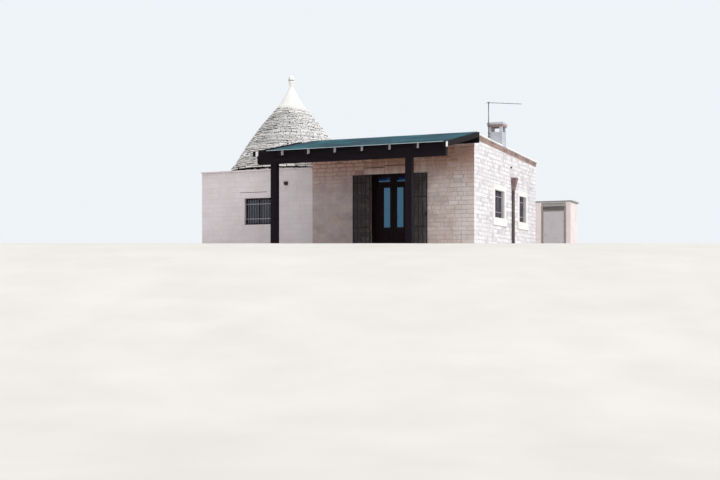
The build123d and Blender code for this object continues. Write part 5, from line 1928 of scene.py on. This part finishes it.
@dataclass
class WallLamp:
    """A small bulkhead lamp beside the joint of the two bodies."""

    x: float = 1.15
    z: float = 2.3

    def build(self) -> None:
        """Builds the back plate, the body, the glass, the hood, the guard's bars and the screws."""
        piece = Piece("lamp_housing", LAMP_METAL, LAMP_GLASS)
        x, y, z = self.x, FRONT, self.z
        piece.box(around(x, 0.075), (y - 0.012, y + 0.005), around(z, 0.065), 0.004)
        piece.box(around(x, 0.061), (y - 0.05, y - 0.01), (z - 0.05, z + 0.051), 0.008)
        piece.box(around(x, 0.05), (y - 0.095, y - 0.045), (z - 0.046, z + 0.034), 0.014, 1)
        piece.box(around(x, 0.056), (y - 0.11, y - 0.03), (z + 0.036, z + 0.052), 0.005)
        for side in (-1, 1):
            piece.box(around(x + side * 0.03, 0.004), (y - 0.102, y - 0.04), (z - 0.05, z + 0.04), 0.003)
            screw = x + side * 0.066
            piece.bar((screw, y - 0.016, z), (screw, y - 0.01, z), 0.005, 12)
        piece.finished("wall_lamp")


@dataclass
class Store:
    """The small store at the rear corner, its steel frame, vent and door."""

    x: Pair = (7.67, 9.24)
    y: Pair = (5.05, 6.22)
    height: float = 1.95
    eaves: float = 0.045
    opening: Pair = (8.11, 9.07)
    head: float = 1.83
    floor: float = 0.05
    frame_y: Pair = (5.05, 5.11)
    frame: float = 0.08
    bars: tuple[Pair, Pair] = ((1.61, 1.65), (1.79, 1.83))
    louvres: int = 8
    plate: float = 0.003
    door_x: Pair = (8.195, 8.985)
    door_z: Pair = (0.055, 1.605)
    door_y: Pair = (5.053, 5.083)
    ribs: Pair = (0.34, 0.67)
    hinge: Pair = (8.9875, 5.038)
    hinge_heights: Pair = (0.35, 1.2)
    bond: Bond = Bond(
        0.25, (0.4, 0.56), joint=0.005, proud=0.003, relief=0.001, depth=0.08, quoin=(0.17, 0.17)
    )

    def build(self) -> None:
        """Lays the walls and builds the roof, the frame and the door."""
        dress(STORE_STONE, "store_walls")
        self.lay_walls()
        (x0, x1), (y0, y1) = self.x, self.y
        roof = Piece("store_roof_slab", STORE_ROOF)
        roof.box((x0, x1 + self.eaves), (y0, y1 + self.eaves), (self.height, self.height + 0.06), 0.006)
        roof.finished("store_roof")
        self.build_frame()
        self.build_door()

    def lay_walls(self) -> None:
        """Flat blocks with fine joints on the four faces, and a lintel."""
        crown, breaks = flat(self.height), (self.head,)
        (x0, x1), (y0, y1) = self.x, self.y
        gap = Gap(self.opening[0] - x0, self.opening[1] - x0, self.floor, self.height)
        wing = Gap(-0.1, SIDE - x0 + 0.01, -0.1, 3.0)
        faces = (
            Face((x0, y0), 0.0, x1 - x0, crown, breaks, (gap, wing), False, True),
            Face((x1, y0), QUARTER, y1 - y0, crown, breaks, (), True, True),
            Face((x1, y1), math.pi, x1 - x0, crown, breaks, (), True, True),
            Face((x0, y1), -QUARTER, y1 - y0, crown, breaks, (), True, False),
        )
        stones = [stone for number, face in enumerate(faces) for stone in face.lay(self.bond, 101 + number)]
        lay("store_facing", stones, SMOOTH_CUT, STORE_STONE)
        head = faces[0].block_stone(self.bond, Gap(gap.start, gap.end, self.head, self.height))
        lay("store_lintel", [head], SMOOTH_CUT, STORE_ROOF)

    def build_frame(self) -> None:
        """Folded steel frame, a louvred vent over the door and the fixed hinge halves."""
        piece = Piece("store_frame_steel", STORE_FRAME, STORE_VENT)
        y, z, inner = self.frame_y, (self.floor, self.head), grown(self.opening, -self.frame)
        for jamb in ends(self.opening, self.frame):
            piece.box(jamb, (y[0], y[0] + self.plate), z, 0.0008)
        for edge in ((inner[0] - self.plate, inner[0]), (inner[1], inner[1] + self.plate)):
            piece.box(edge, y, z, 0.0008)
        for bar in self.bars:
            piece.box(inner, y, bar, 0.002)
        foot, tall, tilt = self.bars[0][1], 0.14, math.radians(25)
        for number in range(self.louvres):
            spot = (0, sum(y) / 2, foot + tall * (number + 0.5) / self.louvres)
            turn = Matrix.Translation(spot) @ Matrix.Rotation(tilt, 4, "X")
            piece.box(inner, around(0.0, 0.02), around(0.0, 0.001), 0.0, 1, turn)
        lug = (self.hinge[0], self.hinge[0] + 0.02)
        for height in self.hinge_heights:
            piece.hinge(self.hinge, height, lug, (self.hinge[1], y[0]), True)
        piece.finished("store_door_frame")

    def build_door(self) -> None:
        """A flat pressed leaf with folded edges, stiffening ribs, handle and hinge halves."""
        piece = Piece("store_door_steel", STORE_DOOR, IRON)
        x, y, z = self.door_x, self.door_y, self.door_z
        folded = (y[0] + 0.001, y[1])
        piece.box(x, (y[0], y[0] + self.plate), z, 0.001)
        for edge in ends(x, self.plate):
            piece.box(edge, folded, z, 0.0008)
        for edge in ends(z, self.plate):
            piece.box(grown(x, -0.001), folded, edge, 0.0008)
        for share in self.ribs:
            rib = around(z[0] + (z[1] - z[0]) * share, 0.02)
            piece.box(grown(x, -self.plate), (y[0] + 0.002, y[0] + 0.02), rib, 0.002)
        lug = (self.hinge[0] - 0.02, self.hinge[0])
        for height in self.hinge_heights:
            piece.hinge(self.hinge, height, lug, (self.hinge[1], y[0] + 0.001), False)
        grip = x[0] + 0.08
        piece.box(around(grip, 0.015), (y[0] - 0.008, y[0] + 0.001), (0.66, 0.75), 0.002, 1)
        piece.bar((grip, y[0] - 0.006, 0.705), (grip, y[0] - 0.02, 0.705), 0.006, 12, 1)
        piece.box(around(grip, 0.006), (y[0] - 0.03, y[0] - 0.018), (0.675, 0.735), 0.003, 1)
        piece.finished("store_door", body="store_door")


# Studio


class Backdrop(Enum):
    """The colours behind and around the object."""

    SKY = (0.86, 0.90, 0.94, 1.0)
    LIGHT = (1.0, 1.0, 1.0, 1.0)


@dataclass
class Studio:
    """Camera, light, pale backdrop and floor."""

    eye: Point = (18.68, -36.58, -1.155)
    aim: Point = (-0.399, 0.917, 0.0)
    lens: float = 55.5
    shift: float = 0.0611
    sun_from: Point = (0.75, -0.14, 0.62)
    sun: float = 1.54
    ambient: float = 0.78
    level_until: float = -9.0
    fall_over: float = 22.0
    fall: float = 2.9

    def build(self) -> None:
        """Sets the studio up."""
        self.set_camera()
        self.set_light()
        self.lay_floor()
        bpy.context.scene.view_settings.view_transform = "Standard"

    def set_camera(self) -> None:
        """The camera at the photograph's viewing angle."""
        data = bpy.data.cameras.new("camera")
        data.lens = self.lens
        data.sensor_width = 36.0
        data.shift_y = self.shift
        data.clip_end = 300.0
        camera = add_object("camera", data)
        camera.location = self.eye
        camera.rotation_euler = Vector(self.aim).to_track_quat("-Z", "Y").to_euler()
        bpy.context.scene.camera = camera

    def set_light(self) -> None:
        """A soft high sun from the right, and an even sky that shows pale to the camera."""
        data = bpy.data.lights.new("sun", "SUN")
        data.energy = self.sun
        data.angle = math.radians(11)
        add_object("sun", data).rotation_euler = (-Vector(self.sun_from)).to_track_quat("-Z", "Y").to_euler()
        world = bpy.data.worlds.new("studio")
        world.use_nodes = True
        bpy.context.scene.world = world
        graph, background = Graph(world.node_tree), world.node_tree.nodes["Background"].inputs
        path = graph.node("ShaderNodeLightPath").outputs
        mirrored = graph.math("MAXIMUM", path["Is Glossy Ray"], path["Is Transmission Ray"])
        seen = graph.math("MAXIMUM", path["Is Camera Ray"], mirrored)
        graph.feed(background["Color"], graph.mix(seen, Backdrop.LIGHT.value, Backdrop.SKY.value))
        graph.feed(background["Strength"], graph.spread(seen, 0.0, 1.0, self.ambient, 1.0))

    def floor_height(self, x: float, y: float) -> float:
        """Height of the floor: level under the house, then falling away towards the camera."""
        ahead = x * self.aim[0] + y * self.aim[1]
        share = min(1.0, max(0.0, (self.level_until - ahead) / self.fall_over))
        return -self.fall * share * share * (3 - 2 * share)

    def lay_floor(self) -> None:
        """A plain pale floor."""
        data = bpy.data.meshes.new("floor")
        grid = bmesh.new()
        bmesh.ops.create_grid(grid, x_segments=120, y_segments=120, size=70)
        for vert in grid.verts:
            vert.co.z = self.floor_height(vert.co.x, vert.co.y) - 0.001
        for face in grid.faces:
            face.smooth = True
        grid.to_mesh(data)
        grid.free()
        made = bpy.data.materials.new("floor")
        made.use_nodes = True
        graph, shader = Graph(made.node_tree), made.node_tree.nodes["Principled BSDF"].inputs
        where = graph.node("ShaderNodeTexCoord").outputs["Object"]
        mottle = graph.spread(graph.noise(where, 0.6, 4.0), 0.3, 0.7)
        graph.feed(shader["Base Color"], graph.mix(mottle, paint((226, 222, 216)), paint((234, 231, 226))))
        shader["Roughness"].default_value = 0.95
        data.materials.append(made)
        floor = add_object("floor", data)


HOUSE = (TrulloBody, Cone, Wing, FrenchDoor, Gates, Windows, Chimney, Rainwater, LeanTo, WallLamp, Store)


def main() -> None:
    """Builds the house, part by part, and the studio."""
    logging.basicConfig(level=logging.INFO, format="%(message)s")
    for part in (*HOUSE, Studio):
        part().build()


if __name__ == "__main__":
    main()
